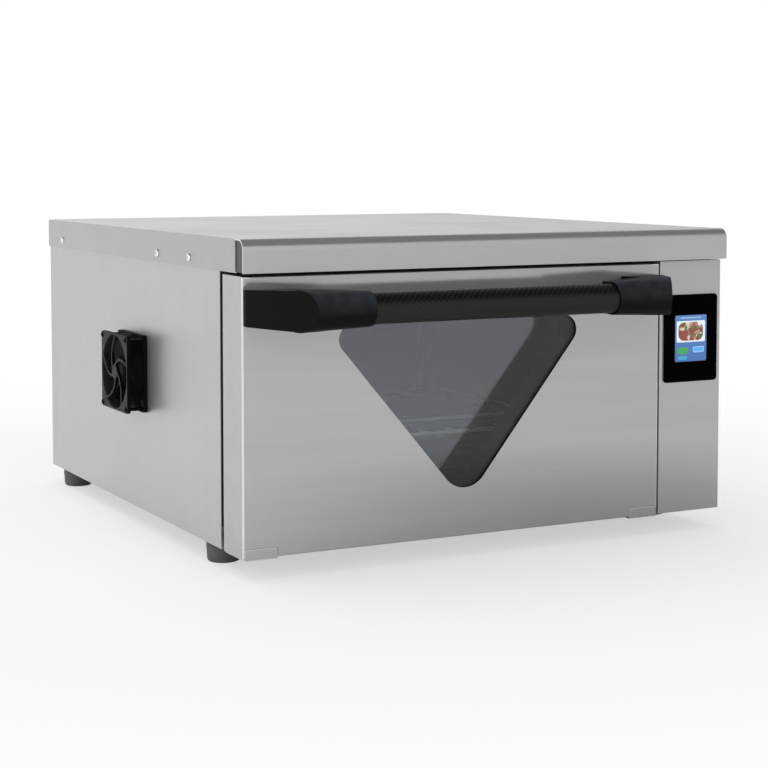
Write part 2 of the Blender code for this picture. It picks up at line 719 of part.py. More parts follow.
def make_front_frame():
    """The cabinet's face: a tray with openings for the cavity, the hinge arms and the cables."""
    low = (-INSIDE_X, CABINET_FRONT, PANEL_SHEET + FIT)
    high = (INSIDE_X, CABINET_FRONT + FRAME_RETURN, SIDE_TOP)
    frame = open_box("front_frame", low, high, PANEL_SHEET, (0, 1, 0), "galvanised_steel")
    before, behind = CABINET_FRONT - CUT_OVERRUN, CABINET_FRONT + FRAME_RETURN + CUT_OVERRUN
    cavity_low = (CAVITY_LEFT, before, CAVITY_BOTTOM)
    cut(frame, box("frame_cavity_opening", cavity_low, (CAVITY_RIGHT, behind, CAVITY_TOP)))
    for name, x, _ in hinge_sides():
        half = HINGE_ARM_THICKNESS / 2 + HINGE_ARM_GAP
        arm_top = HINGE_AXIS_HEIGHT + HINGE_ARM_RADIUS + HINGE_ARM_GAP
        cut(frame, box("frame_arm_slot_" + name, (x - half, before, 0), (x + half, behind, arm_top)))
    hole_low = (COLUMN_MIDDLE - CABLE_HOLE_WIDTH / 2, before, SCREEN_MIDDLE_Z - CABLE_HOLE_HEIGHT / 2)
    hole_high = (COLUMN_MIDDLE + CABLE_HOLE_WIDTH / 2, behind, SCREEN_MIDDLE_Z + CABLE_HOLE_HEIGHT / 2)
    cut(frame, box("frame_cable_hole", hole_low, hole_high))


def make_back_panel():
    """The back: a tray with rows of vent slots and the gland's hole."""
    low = (-INSIDE_X, CABINET_BACK - FRAME_RETURN, PANEL_SHEET + FIT)
    high = (INSIDE_X, CABINET_BACK, SIDE_TOP)
    panel = open_box("back_panel", low, high, PANEL_SHEET, (0, -1, 0), "galvanised_steel")
    front, behind = CABINET_BACK - PANEL_SHEET - CUT_OVERRUN, CABINET_BACK + CUT_OVERRUN
    slots = []
    slot_mesh = vent_slot_mesh(behind - front)
    for side in (-1, 1):
        for row in range(VENT_SLOTS):
            x = side * HALF_WIDTH / 2
            z = SIDE_TOP - VENT_BELOW_TOP - row * VENT_PITCH
            slots.append((slot_mesh, Matrix.Translation((x, (front + behind) / 2, z))))
    cut(panel, place("vent_slots", merged_mesh("vent_slots", slots), (0, 0, 0)))
    x = HALF_WIDTH - GLAND_FROM_SIDE
    radius = GLAND_SHANK_RADIUS + FIT
    cut(panel, rod("gland_hole", (x, front, GLAND_HEIGHT), (x, behind, GLAND_HEIGHT), radius))


def vent_slot_mesh(depth):
    outline = rounded_rectangle(VENT_SLOT_LENGTH, VENT_SLOT_HEIGHT, VENT_SLOT_CORNER)
    return outline_mesh("vent_slot", outline, depth, "Y")


def make_cord_gland():
    """A gland clamped in the back panel by its nut. A mains cord would come out through its bore."""
    outside = FIT + GLAND_REACH
    inside = -PANEL_SHEET - FIT
    profile = (
        (GLAND_BORE_RADIUS, outside),
        (GLAND_TIP_RADIUS, outside),
        (GLAND_RADIUS, FIT + GLAND_REACH / 2),
        (GLAND_RADIUS, FIT),
        (GLAND_SHANK_RADIUS, FIT),
        (GLAND_SHANK_RADIUS, inside),
        (GLAND_RADIUS, inside),
        (GLAND_RADIUS, inside - GLAND_NUT),
        (GLAND_BORE_RADIUS, inside - GLAND_NUT),
    )
    location = (HALF_WIDTH - GLAND_FROM_SIDE, CABINET_BACK, GLAND_HEIGHT)
    turned("cord_gland", profile, "Y", location, "black_plastic", sides=MEDIUM_SIDES, ring=True)


def make_cavity():
    """The liner, the wool round it and the seal that the door closes on."""
    wall = LINER_SHEET
    low = (CAVITY_LEFT - wall, LINER_FRONT, CAVITY_BOTTOM - wall)
    high = (CAVITY_RIGHT + wall, CAVITY_BACK + wall, CAVITY_TOP + wall)
    liner = open_box("cavity_liner", low, high, wall, (0, -1, 0), "bright_steel")
    cut(liner, shaft_hole("liner_shaft_hole"), *heater_holes("liner"))
    cut(liner, probe_hole("liner_probe_hole"))

    room = wall + FIT
    inner_low = Vector((CAVITY_LEFT - room, LINER_FRONT - CUT_OVERRUN, CAVITY_BOTTOM - room))
    inner_high = Vector((CAVITY_RIGHT + room, CAVITY_BACK + room, CAVITY_TOP + room))
    wool = Vector((INSULATION, INSULATION, INSULATION))
    outer_low = inner_low - wool
    outer_low.y = LINER_FRONT
    insulation = box("cavity_insulation", outer_low, inner_high + wool, "mineral_wool")
    cut(insulation, box("insulation_inside", inner_low, inner_high))
    cut(insulation, shaft_hole("insulation_shaft_hole"), *heater_holes("insulation"))
    cut(insulation, probe_hole("insulation_probe_hole"))
    start = (CAVITY_RIGHT, LINER_FRONT + THERMOSTAT_FROM_FRONT, FAN_Z)
    end = (CAVITY_RIGHT + room + INSULATION + CUT_OVERRUN, start[1], FAN_Z)
    cut(insulation, rod("thermostat_hole", start, end, THERMOSTAT_RADIUS + FIT))

    reach = SEAL_MARGIN + SEAL_WIDTH
    seal_low = (CAVITY_LEFT - reach, DOOR_THICKNESS + FIT, CAVITY_BOTTOM - reach)
    seal_high = (CAVITY_RIGHT + reach, CABINET_FRONT - FIT, CAVITY_TOP + reach)
    seal = box("door_seal", seal_low, seal_high, "silicone")
    gap_low = (CAVITY_LEFT - SEAL_MARGIN, DOOR_THICKNESS - CUT_OVERRUN, CAVITY_BOTTOM - SEAL_MARGIN)
    gap_high = (CAVITY_RIGHT + SEAL_MARGIN, CABINET_FRONT + CUT_OVERRUN, CAVITY_TOP + SEAL_MARGIN)
    cut(seal, box("seal_inside", gap_low, gap_high))


def shaft_hole(name):
    start = (DOOR_MIDDLE, CAVITY_BACK - CUT_OVERRUN, FAN_Z)
    end = (DOOR_MIDDLE, INSULATION_BACK + CUT_OVERRUN, FAN_Z)
    return rod(name, start, end, SHAFT_RADIUS + SHAFT_CLEARANCE)


def heater_legs():
    """Where the heater's two legs go back through the liner, as X from the fan's axis and Z."""
    x = HEATER_RADIUS * math.sin(HEATER_OPEN_ANGLE)
    z = FAN_Z - HEATER_RADIUS * math.cos(HEATER_OPEN_ANGLE)
    return ((-x, z), (x, z))


def heater_holes(owner):
    holes = []
    for index, (x, z) in enumerate(heater_legs()):
        start = (DOOR_MIDDLE + x, CAVITY_BACK - CUT_OVERRUN, z)
        end = (DOOR_MIDDLE + x, INSULATION_BACK + CUT_OVERRUN, z)
        name = owner + "_heater_hole_" + str(index)
        holes.append(rod(name, start, end, HEATER_TUBE_RADIUS + FIT, sides=SMALL_SIDES))
    return holes


def probe_hole(name):
    y, z = LINER_FRONT + PROBE_FROM_FRONT, CAVITY_TOP - PROBE_BELOW_CAVITY_TOP
    start = (CAVITY_RIGHT - CUT_OVERRUN, y, z)
    end = (CAVITY_RIGHT + LINER_SHEET + FIT + INSULATION + CUT_OVERRUN, y, z)
    return rod(name, start, end, PROBE_RADIUS + FIT, sides=SMALL_SIDES)


def make_temperature_control():
    """The thermostat lies on the liner's right wall, and the probe reaches through that wall."""
    wall = CAVITY_RIGHT + LINER_SHEET + FIT
    y = LINER_FRONT + THERMOSTAT_FROM_FRONT
    end = wall + INSULATION + THERMOSTAT_HEAD
    rod("limit_thermostat", (wall, y, FAN_Z), (end, y, FAN_Z), THERMOSTAT_RADIUS, "motor_casing")
    head_start = wall + INSULATION + FIT
    profile = (
        (0, PROBE_HEAD),
        (PROBE_HEAD_RADIUS, PROBE_HEAD),
        (PROBE_HEAD_RADIUS, 0),
        (PROBE_RADIUS, 0),
        (PROBE_RADIUS, CAVITY_RIGHT - PROBE_REACH - head_start),
        (0, CAVITY_RIGHT - PROBE_REACH - head_start),
    )
    location = (head_start, LINER_FRONT + PROBE_FROM_FRONT, CAVITY_TOP - PROBE_BELOW_CAVITY_TOP)
    turned("temperature_probe", profile, "X", location, "bright_steel", sides=SMALL_SIDES)


def rack_level():
    return CAVITY_BOTTOM + RACK_HEIGHT


def make_rack():
    """Two rails carry a wire rack, and a baking plate stands on it."""
    start = LINER_FRONT + RAIL_FROM_FRONT
    for name, wall, sign in (("rack_rail_left", CAVITY_LEFT, 1), ("rack_rail_right", CAVITY_RIGHT, -1)):
        near, far = wall + sign * FIT, wall + sign * (FIT + RAIL_WIDTH)
        low = (min(near, far), start, rack_level() - RAIL_HEIGHT)
        box(name, low, (max(near, far), start + RAIL_LENGTH, rack_level()), "bright_steel")

    radius, cross_radius = RACK_WIRE / 2, RACK_CROSS_WIRE / 2
    half = CAVITY_WIDTH / 2 - RACK_SIDE_CLEARANCE - radius
    z = rack_level() + FIT + radius
    corners = ((-half, 0), (half, 0), (half, RAIL_LENGTH - RACK_WIRE), (-half, RAIL_LENGTH - RACK_WIRE))
    loop = [(x, y, 0) for x, y in rounded_outline([(corner, RAIL_WIDTH) for corner in corners])]
    location = (DOOR_MIDDLE, start + radius, z)
    rack = place("wire_rack", wire_mesh("wire_rack", loop, radius, closed=True), location, "bright_steel")
    pitch = 2 * half / (RACK_CROSS_WIRES + 1)
    cross = wire_mesh("cross_wire", ((0, 0, 0), (0, RAIL_LENGTH - RACK_WIRE, 0)), cross_radius)
    moves = [Matrix.Translation((pitch * (index + 1) - half, 0, 0)) for index in range(RACK_CROSS_WIRES)]
    cross_wires = merged_mesh("rack_cross_wires", [(cross, move) for move in moves])
    join(rack, place("rack_cross_wires", cross_wires, location))

    plate_bottom = z + cross_radius + FIT
    low = (DOOR_MIDDLE - half + PLATE_INSET, start + PLATE_INSET, plate_bottom)
    high = (DOOR_MIDDLE + half - PLATE_INSET, start + RAIL_LENGTH - PLATE_INSET, plate_bottom + PLATE_HEIGHT)
    open_box("baking_plate", low, high, PLATE_SHEET, (0, 0, 1), "dark_enamel")


def make_baffle():
    """The plate in front of the fan. Air goes in at its middle and comes out at its slots."""
    front = CAVITY_BACK - BAFFLE_FROM_BACK
    low = (CAVITY_LEFT + FIT, front, CAVITY_BOTTOM + FIT)
    high = (CAVITY_RIGHT - FIT, front + BAFFLE_SHEET, CAVITY_TOP - FIT)
    baffle = box("fan_baffle", low, high, "bright_steel")
    before, behind = front - CUT_OVERRUN, front + BAFFLE_SHEET + CUT_OVERRUN
    start, end = (DOOR_MIDDLE, before, FAN_Z), (DOOR_MIDDLE, behind, FAN_Z)
    cut(baffle, rod("baffle_intake", start, end, BAFFLE_INTAKE_RADIUS, sides=FINE_SIDES))
    for name, wall, sign in (("left", CAVITY_LEFT, 1), ("right", CAVITY_RIGHT, -1)):
        near, far = wall + sign * BAFFLE_SLOT_INSET, wall + sign * (BAFFLE_SLOT_INSET + BAFFLE_SLOT_WIDTH)
        slot_low = (min(near, far), before, FAN_Z - BAFFLE_SLOT_HEIGHT / 2)
        slot_high = (max(near, far), behind, FAN_Z + BAFFLE_SLOT_HEIGHT / 2)
        cut(baffle, box("baffle_slot_" + name, slot_low, slot_high))


def make_convection_fan():
    """A radial impeller on its shaft, which runs back into the motor."""
    hub_back = -FAN_FROM_BACK
    hub_front = hub_back - FAN_DEPTH
    plate_front = hub_back - FAN_PLATE
    shaft_end = INSULATION_BACK + FIT + MOTOR_SHAFT_SEAT - CAVITY_BACK
    profile = (
        (0, shaft_end),
        (SHAFT_RADIUS, shaft_end),
        (SHAFT_RADIUS, hub_back),
        (FAN_RADIUS, hub_back),
        (FAN_RADIUS, plate_front),
        (FAN_HUB_RADIUS, plate_front),
        (FAN_HUB_RADIUS, hub_front),
        (0, hub_front),
    )
    location = Vector((DOOR_MIDDLE, CAVITY_BACK, FAN_Z))
    fan = turned("convection_fan", profile, "Y", location, "bright_steel")
    length = FAN_RADIUS - FAN_BLADE_INNER_RADIUS
    depth = FAN_DEPTH - FAN_PLATE / 2
    bm = bmesh.new()
    bmesh.ops.create_cube(bm, size=1, matrix=Matrix.Diagonal((length, depth, FAN_BLADE_SHEET, 1)))
    blade = mesh_from(bm, "fan_blade")
    out = ((FAN_RADIUS + FAN_BLADE_INNER_RADIUS) / 2, hub_back - FAN_PLATE / 2 - depth / 2, 0)
    lean = Matrix.Translation(out) @ Matrix.Rotation(FAN_BLADE_LEAN, 4, "Y")
    steps = [2 * math.pi * index / FAN_BLADES for index in range(FAN_BLADES)]
    blades = merged_mesh("fan_blades", [(blade, Matrix.Rotation(step, 4, "Y") @ lean) for step in steps])
    join(fan, place("fan_blades", blades, location))


def make_convection_motor():
    """The fan's motor lies on the wool behind the cavity. Its shaft is one piece with the impeller."""
    length = MOTOR_FLANGE + MOTOR_LENGTH
    bore = SHAFT_RADIUS + FIT
    bore_end = MOTOR_SHAFT_SEAT + FIT
    profile = (
        (0, length),
        (MOTOR_RADIUS, length),
        (MOTOR_RADIUS, MOTOR_FLANGE),
        (MOTOR_FLANGE_RADIUS, MOTOR_FLANGE),
        (MOTOR_FLANGE_RADIUS, 0),
        (bore, 0),
        (bore, bore_end),
        (0, bore_end),
    )
    turned("convection_motor", profile, "Y", (DOOR_MIDDLE, INSULATION_BACK + FIT, FAN_Z), "motor_casing")


def make_heater():
    """A ring heater round the fan. Both its legs go back through the liner and the wool."""
    back = INSULATION_BACK + HEATER_TAIL - CAVITY_BACK
    front = -HEATER_FROM_BACK
    sweep = 2 * (math.pi - HEATER_OPEN_ANGLE)
    (left, leg_z), (right, _) = heater_legs()
    points = [(right, back, leg_z - FAN_Z)]
    for step in range(HEATER_STEPS + 1):
        angle = HEATER_OPEN_ANGLE + sweep * step / HEATER_STEPS
        points.append((HEATER_RADIUS * math.sin(angle), front, -HEATER_RADIUS * math.cos(angle)))
    points.append((left, back, leg_z - FAN_Z))
    mesh = wire_mesh("heater_element", points, HEATER_TUBE_RADIUS)
    place("heater_element", mesh, (DOOR_MIDDLE, CAVITY_BACK, FAN_Z), "heater_sheath")


def make_control_column():
    """The steel column right of the door. It carries the display."""
    low = (COLUMN_LEFT, 0, 0)
    high = (HALF_WIDTH, CABINET_FRONT - FIT, COLUMN_TOP)
    column = open_box("control_column", low, high, PANEL_SHEET, (0, 1, 0), "brushed_steel")
    half = SCREEN_WIDTH / 2 + FIT
    hole_low = (COLUMN_MIDDLE - half, -CUT_OVERRUN, SCREEN_TOP - SCREEN_HEIGHT - FIT)
    hole_high = (COLUMN_MIDDLE + half, PANEL_SHEET + CUT_OVERRUN, SCREEN_TOP + FIT)
    cut(column, box("column_screen_hole", hole_low, hole_high))

    outline = rounded_rectangle(BEZEL_WIDTH, BEZEL_HEIGHT, BEZEL_CORNER)
    mesh = outline_mesh("display_bezel", outline, BEZEL_THICKNESS, "Y")
    location = (COLUMN_MIDDLE, -FIT - BEZEL_THICKNESS / 2, BEZEL_TOP - BEZEL_HEIGHT / 2)
    bezel = place("display_bezel", mesh, location, "black_glass")
    opening_low = (hole_low[0], -FIT - BEZEL_THICKNESS - CUT_OVERRUN, hole_low[2])
    opening_high = (hole_high[0], CUT_OVERRUN, hole_high[2])
    cut(bezel, box("bezel_screen_hole", opening_low, opening_high))

    back = PANEL_SHEET + FIT + MODULE_DEPTH
    half_width = SCREEN_WIDTH / 2 + MODULE_MARGIN
    low = (COLUMN_MIDDLE - half_width, PANEL_SHEET + FIT, SCREEN_TOP - SCREEN_HEIGHT - MODULE_MARGIN)
    high = (COLUMN_MIDDLE + half_width, back, SCREEN_TOP + MODULE_MARGIN)
    module = box("display_module", low, high, "screen")
    face_low = (COLUMN_MIDDLE - SCREEN_WIDTH / 2, -BEZEL_THICKNESS, SCREEN_TOP - SCREEN_HEIGHT)
    face_high = (COLUMN_MIDDLE + SCREEN_WIDTH / 2, back - MODULE_DEPTH / 2, SCREEN_TOP)
    join(module, box("screen_face", face_low, face_high))

    board_front = back + FIT + BOARD_SPACER
    low = (low[0], board_front, low[2])
    high = (high[0], board_front + BOARD_THICKNESS, high[2])
    board = box("control_board", low, high, "circuit_board")
    inset = BOARD_SPACER_RADIUS * 2
    length = BOARD_SPACER + BOARD_THICKNESS / 2
    spacer = cylinder_mesh("spacer", BOARD_SPACER_RADIUS, length, "Y", SMALL_SIDES)
    y = back + FIT + length / 2
    places = [(x, y, z) for x in (low[0] + inset, high[0] - inset) for z in (low[2] + inset, high[2] - inset)]
    spacers = merged_mesh("board_spacers", [(spacer, Matrix.Translation(spot)) for spot in places])
    half = BOARD_CHIP_WIDTH / 2
    chip_low = (COLUMN_MIDDLE - half, high[1] - BOARD_THICKNESS / 2, SCREEN_MIDDLE_Z - half)
    chip_high = (COLUMN_MIDDLE + half, high[1] + BOARD_CHIP_HEIGHT, SCREEN_MIDDLE_Z + half)
    join(board, place("board_spacers", spacers, (0, 0, 0)), box("board_chip", chip_low, chip_high))


def make_power_board():
    """A board on standoffs over the base, with its transformer and the cord's terminals."""
    right = INSIDE_X - POWER_BOARD_FROM_SIDE
    back = CABINET_BACK - POWER_BOARD_FROM_BACK
    floor = PANEL_SHEET + FIT
    low = Vector((right - POWER_BOARD_WIDTH, back - POWER_BOARD_DEPTH, floor + POWER_BOARD_STANDOFF))
    high = Vector((right, back, floor + POWER_BOARD_STANDOFF + BOARD_THICKNESS))
    board = box("power_board", low, high, "circuit_board")
    length = POWER_BOARD_STANDOFF + BOARD_THICKNESS / 2
    spacer = cylinder_mesh("standoff", BOARD_SPACER_RADIUS, length, "Z", SMALL_SIDES)
    inset = BOARD_SPACER_RADIUS * 2
    corners = [(x, y) for x in (low.x + inset, high.x - inset) for y in (low.y + inset, high.y - inset)]
    moves = [Matrix.Translation((x, y, floor + length / 2)) for x, y in corners]
    standoffs = merged_mesh("standoffs", [(spacer, move) for move in moves])
    seat = high.z - BOARD_THICKNESS / 2
    near = low + Vector((POWER_PART_INSET, POWER_PART_INSET, 0))
    transformer_high = (near.x + TRANSFORMER_WIDTH, near.y + TRANSFORMER_DEPTH, high.z + TRANSFORMER_HEIGHT)
    transformer = box("transformer", (near.x, near.y, seat), transformer_high)
    far = high - Vector((POWER_PART_INSET, POWER_PART_INSET, 0))
    terminal_low = (far.x - TERMINAL_WIDTH, far.y - TERMINAL_DEPTH, seat)
    terminals = box("terminals", terminal_low, (far.x, far.y, high.z + TERMINAL_HEIGHT))
    join(board, place("standoffs", standoffs, (0, 0, 0)), transformer, terminals)


def cooler_screw_places():
    half = COOLER_SCREW_SPACING / 2
    rows = (("low", COOLER_HEIGHT - half), ("high", COOLER_HEIGHT + half))
    columns = (("front", COOLER_Y - half), ("back", COOLER_Y + half))
    return [(column + "_" + row, y, z) for column, y in columns for row, z in rows]


def strut_outline():
    """One strut from the fan's hub to its rim, as (Y, Z) from its axis. It curls most at the hub."""
    inner = COOLER_STRUT_HUB_RADIUS - COOLER_STRUT_WIDTH / 2
    outer = COOLER_BORE_RADIUS + COOLER_BARREL_WALL / 2
    sides = ([], [])
    for step in range(COOLER_STRUT_STEPS + 1):
        share = step / COOLER_STRUT_STEPS
        radius = inner + (outer - inner) * share
        angle = COOLER_STRUT_START + COOLER_STRUT_SWEEP * share**COOLER_STRUT_CURL_SHARE
        half = COOLER_STRUT_WIDTH / 2 / radius
        for side, turn in zip(sides, (angle - half, angle + half)):
            side.append((radius * math.cos(turn), radius * math.sin(turn)))
    return sides[0] + sides[1][::-1]


def make_cooling_fan():
    """A square axial fan on the outside of the left panel, blowing through its round hole."""
    front_x = COOLER_FACE + COOLER_FLANGE / 2
    back_x = COOLER_FACE + COOLER_DEPTH - COOLER_FLANGE / 2
    middle_x = COOLER_FACE + COOLER_DEPTH / 2
    square = rounded_rectangle(COOLER_SIZE, COOLER_SIZE, COOLER_CORNER)
    plate = outline_mesh("cooling_fan_frame", square, COOLER_FLANGE, "X")
    frame = place("cooling_fan_frame", plate, (front_x, COOLER_Y, COOLER_HEIGHT), "black_plastic")
    back_plate = outline_mesh("cooler_back_flange", square, COOLER_FLANGE, "X")
    join(frame, place("cooler_back_flange", back_plate, (back_x, COOLER_Y, COOLER_HEIGHT)))
    barrel_length = COOLER_DEPTH - COOLER_FLANGE
    start = (middle_x - barrel_length / 2, COOLER_Y, COOLER_HEIGHT)
    end = (middle_x + barrel_length / 2, COOLER_Y, COOLER_HEIGHT)
    join(frame, rod("cooler_barrel", start, end, COOLER_BORE_RADIUS + COOLER_BARREL_WALL, sides=FINE_SIDES))
    start = (COOLER_FACE - CUT_OVERRUN, COOLER_Y, COOLER_HEIGHT)
    end = (COOLER_FACE + COOLER_DEPTH + CUT_OVERRUN, COOLER_Y, COOLER_HEIGHT)
    cut(frame, rod("cooler_bore", start, end, COOLER_BORE_RADIUS, sides=FINE_SIDES))
    strut = outline_mesh("cooler_strut", strut_outline(), COOLER_STRUT_DEPTH, "X")
    spokes = range(COOLER_STRUTS)
    turns = [Matrix.Rotation(2 * math.pi * index / COOLER_STRUTS, 4, "X") for index in spokes]
    strut_x = COOLER_FACE + COOLER_STRUT_DEPTH / 2
    struts = merged_mesh("cooler_struts", [(strut, turn) for turn in turns])
    join(frame, place("cooler_struts", struts, (strut_x, COOLER_Y, COOLER_HEIGHT)))
    start = (COOLER_FACE, COOLER_Y, COOLER_HEIGHT)
    end = (COOLER_FACE + COOLER_STRUT_DEPTH, COOLER_Y, COOLER_HEIGHT)
    join(frame, rod("cooler_hub", start, end, COOLER_STRUT_HUB_RADIUS, sides=MEDIUM_SIDES))
    axle_end = (COOLER_FACE + COOLER_DEPTH / 2, COOLER_Y, COOLER_HEIGHT)
    join(frame, rod("cooler_axle", start, axle_end, COOLER_AXLE_RADIUS, sides=SMALL_SIDES))
    for place_name, y, z in cooler_screw_places():
        start = (COOLER_FACE - CUT_OVERRUN, y, z)
        end = (COOLER_FACE + COOLER_DEPTH + CUT_OVERRUN, y, z)
        radius = COOLER_SCREW_SHANK_RADIUS + FIT
        cut(frame, rod("cooler_hole_" + place_name, start, end, radius, sides=SMALL_SIDES))
    make_cooling_rotor()
    make_cooling_fan_screws()


def make_cooling_rotor():
    """The blades turn behind the struts, on an axle that stands out of the hub."""
    face = COOLER_STRUT_DEPTH + FIT
    length = COOLER_DEPTH - COOLER_FLANGE - face
    bore = COOLER_AXLE_RADIUS + FIT
    bore_end = face + COOLER_DEPTH / 2 - COOLER_STRUT_DEPTH + FIT
    profile = (
        (0, face + length),
        (COOLER_HUB_RADIUS, face + length),
        (COOLER_HUB_RADIUS, face),
        (bore, face),
        (bore, bore_end),
        (0, bore_end),
    )
    location = Vector((COOLER_FACE, COOLER_Y, COOLER_HEIGHT))
    rotor = turned("cooling_fan_rotor", profile, "X", location, "black_plastic", sides=MEDIUM_SIDES)
    inner = COOLER_HUB_RADIUS * math.cos(math.pi / MEDIUM_SIDES) - COOLER_BLADE_SHEET
    outer = COOLER_BORE_RADIUS - COOLER_TIP_GAP
    bm = bmesh.new()
    size = (COOLER_BLADE_SHEET, outer - inner, COOLER_BLADE_CHORD, 1)
    bmesh.ops.create_cube(bm, size=1, matrix=Matrix.Diagonal(size))
    for vert in bm.verts:
        if vert.co.y < 0:
            vert.co.z *= COOLER_BLADE_ROOT_CHORD / COOLER_BLADE_CHORD
    blade = mesh_from(bm, "cooler_blade")
    corner = math.hypot(outer, COOLER_BLADE_CHORD / 2 * math.cos(COOLER_BLADE_TILT))
    reach = (inner + outer) / 2 - (corner - outer)
    lean = Matrix.Translation((face + length / 2, reach, 0)) @ Matrix.Rotation(COOLER_BLADE_TILT, 4, "Y")
    steps = [2 * math.pi * index / COOLER_BLADES for index in range(COOLER_BLADES)]
    blades = merged_mesh("cooler_blades", [(blade, Matrix.Rotation(step, 4, "X") @ lean) for step in steps])
    join(rotor, place("cooler_blades", blades, location))


def make_cooling_fan_screws():
    profile = (
        (0, FIT + COOLER_SCREW_HEAD_HEIGHT),
        (COOLER_SCREW_HEAD_RADIUS / 2, FIT + COOLER_SCREW_HEAD_HEIGHT),
        (COOLER_SCREW_HEAD_RADIUS, FIT + COOLER_SCREW_HEAD_HEIGHT / 2),
        (COOLER_SCREW_HEAD_RADIUS, FIT),
        (COOLER_SCREW_SHANK_RADIUS, FIT),
        (COOLER_SCREW_SHANK_RADIUS, -COOLER_DEPTH - FIT - PANEL_SHEET - COOLER_SCREW_HEAD_RADIUS),
        (0, -COOLER_DEPTH - FIT - PANEL_SHEET - COOLER_SCREW_HEAD_RADIUS),
    )
    for place_name, y, z in cooler_screw_places():
        name = "cooling_fan_screw_" + place_name
        screw = turned(name, profile, "X", (COOLER_FACE, y, z), "black_plastic", sides=SMALL_SIDES)
        screw.rotation_euler.z += math.pi


def hinge_sides():
    """Each hinge as (name, X of its arm's middle, direction from the door's middle to its end)."""
    inset = HINGE_FITTING_WIDTH + HINGE_ARM_GAP + HINGE_ARM_THICKNESS / 2
    return (("left", DOOR_LEFT + inset, -1), ("right", DOOR_RIGHT - inset, 1))


def make_hinges():
    """An arm from the base carries a pin on each side, and a spring round the pin lifts the door."""
    floor = PANEL_SHEET + FIT
    back = CABINET_FRONT + HINGE_ARM_REACH
    tail_top = floor + HINGE_ARM_TAIL_HEIGHT
    eye = []
    for step in range(SMALL_SIDES + 1):
        angle = math.pi / 2 + math.pi * step / SMALL_SIDES
        y = HINGE_Y + HINGE_ARM_RADIUS * math.cos(angle)
        eye.append((y, HINGE_AXIS_HEIGHT + HINGE_ARM_RADIUS * math.sin(angle)))
    heel = [(CABINET_FRONT + FIT, HINGE_AXIS_HEIGHT - HINGE_ARM_RADIUS), (CABINET_FRONT + FIT, floor)]
    outline = eye + heel + [(back, floor), (back, tail_top), (CABINET_FRONT, tail_top)]
    for name, x, sign in hinge_sides():
        mesh = outline_mesh("hinge_arm_" + name, outline, HINGE_ARM_THICKNESS, "X")
        arm = place("hinge_arm_" + name, mesh, (x, 0, 0), "galvanised_steel")
        half = HINGE_ARM_THICKNESS / 2
        hole_start = HINGE_AXIS + Vector((x - half - CUT_OVERRUN, 0, 0))
        hole_end = HINGE_AXIS + Vector((x + half + CUT_OVERRUN, 0, 0))
        radius = HINGE_PIN_RADIUS + FIT
        cut(arm, rod("arm_hole_" + name, hole_start, hole_end, radius))

        outer_end = x + sign * (half + HINGE_ARM_GAP + HINGE_FITTING_WIDTH - HINGE_PIN_INSET)
        spring_start = x - sign * (half + FIT)
        spring_end = spring_start - sign * HINGE_SPRING_LENGTH
        inner_end = spring_end - sign * HINGE_PIN_OVERHANG
        start = HINGE_AXIS + Vector((outer_end, 0, 0))
        end = HINGE_AXIS + Vector((inner_end, 0, 0))
        rod("hinge_pin_" + name, start, end, HINGE_PIN_RADIUS, "bright_steel")
        inner_radius = HINGE_PIN_RADIUS + FIT
        outer_radius = inner_radius + HINGE_SPRING_WIRE
        reach = HINGE_SPRING_LENGTH / 2
        top_edge = ((inner_radius, reach), (outer_radius, reach))
        profile = top_edge + ((outer_radius, -reach), (inner_radius, -reach))
        location = HINGE_AXIS + Vector(((spring_start + spring_end) / 2, 0, 0))
        turned("hinge_spring_" + name, profile, "X", location, "bright_steel", sides=COARSE_SIDES, ring=True)


def fitting_box(name, sign, margin, finish=None, parent=None):
    """A hinge fitting's cap at one lower corner of the door, grown by a margin where it meets the door."""
    end = DOOR_LEFT if sign < 0 else DOOR_RIGHT
    inner = end - sign * (HINGE_FITTING_WIDTH + margin)
    spread = CUT_OVERRUN if margin else 0
    outer = end + sign * spread
    low = (min(inner, outer), -spread, -HINGE_FITTING_DROP - spread)
    high = (max(inner, outer), DOOR_THICKNESS + spread, HINGE_FITTING_CAP_HEIGHT + margin)
    return box(name, low, high, finish, parent)


def make_hinge_fittings():
    """A steel fitting caps each lower corner of the door. Its lug turns on the hinge pin."""
    for name, x, sign in hinge_sides():
        fitting = fitting_box("hinge_fitting_" + name, sign, 0, "brushed_steel", door_pivot)
        end = DOOR_LEFT if sign < 0 else DOOR_RIGHT
        outer = end - sign * (DOOR_SHEET + FIT)
        inner = end - sign * HINGE_FITTING_WIDTH
        low = (min(inner, outer), HINGE_Y - HINGE_LUG_DEPTH / 2, 0)
        high = (max(inner, outer), HINGE_Y + HINGE_LUG_DEPTH / 2, HINGE_FITTING_CAP_HEIGHT + HINGE_LUG_HEIGHT)
        join(fitting, box("hinge_lug_" + name, low, high))
        bore_start = HINGE_AXIS + Vector((inner - sign * CUT_OVERRUN, 0, 0))
        bore_end = HINGE_AXIS + Vector((end - sign * (HINGE_PIN_INSET - FIT), 0, 0))
        cut(fitting, rod("fitting_bore_" + name, bore_start, bore_end, HINGE_PIN_RADIUS + FIT))


def arm_slot(owner, name, x):
    """The way through the door's lower edge that a hinge arm needs as the door turns."""
    half = HINGE_ARM_THICKNESS / 2 + HINGE_ARM_GAP
    front = HINGE_Y - HINGE_ARM_RADIUS - HINGE_ARM_GAP
    top = HINGE_AXIS_HEIGHT + HINGE_ARM_RADIUS + HINGE_ARM_GAP
    low = (x - half, front, -CUT_OVERRUN)
    return box(owner + "_arm_slot_" + name, low, (x + half, DOOR_THICKNESS + CUT_OVERRUN, top))


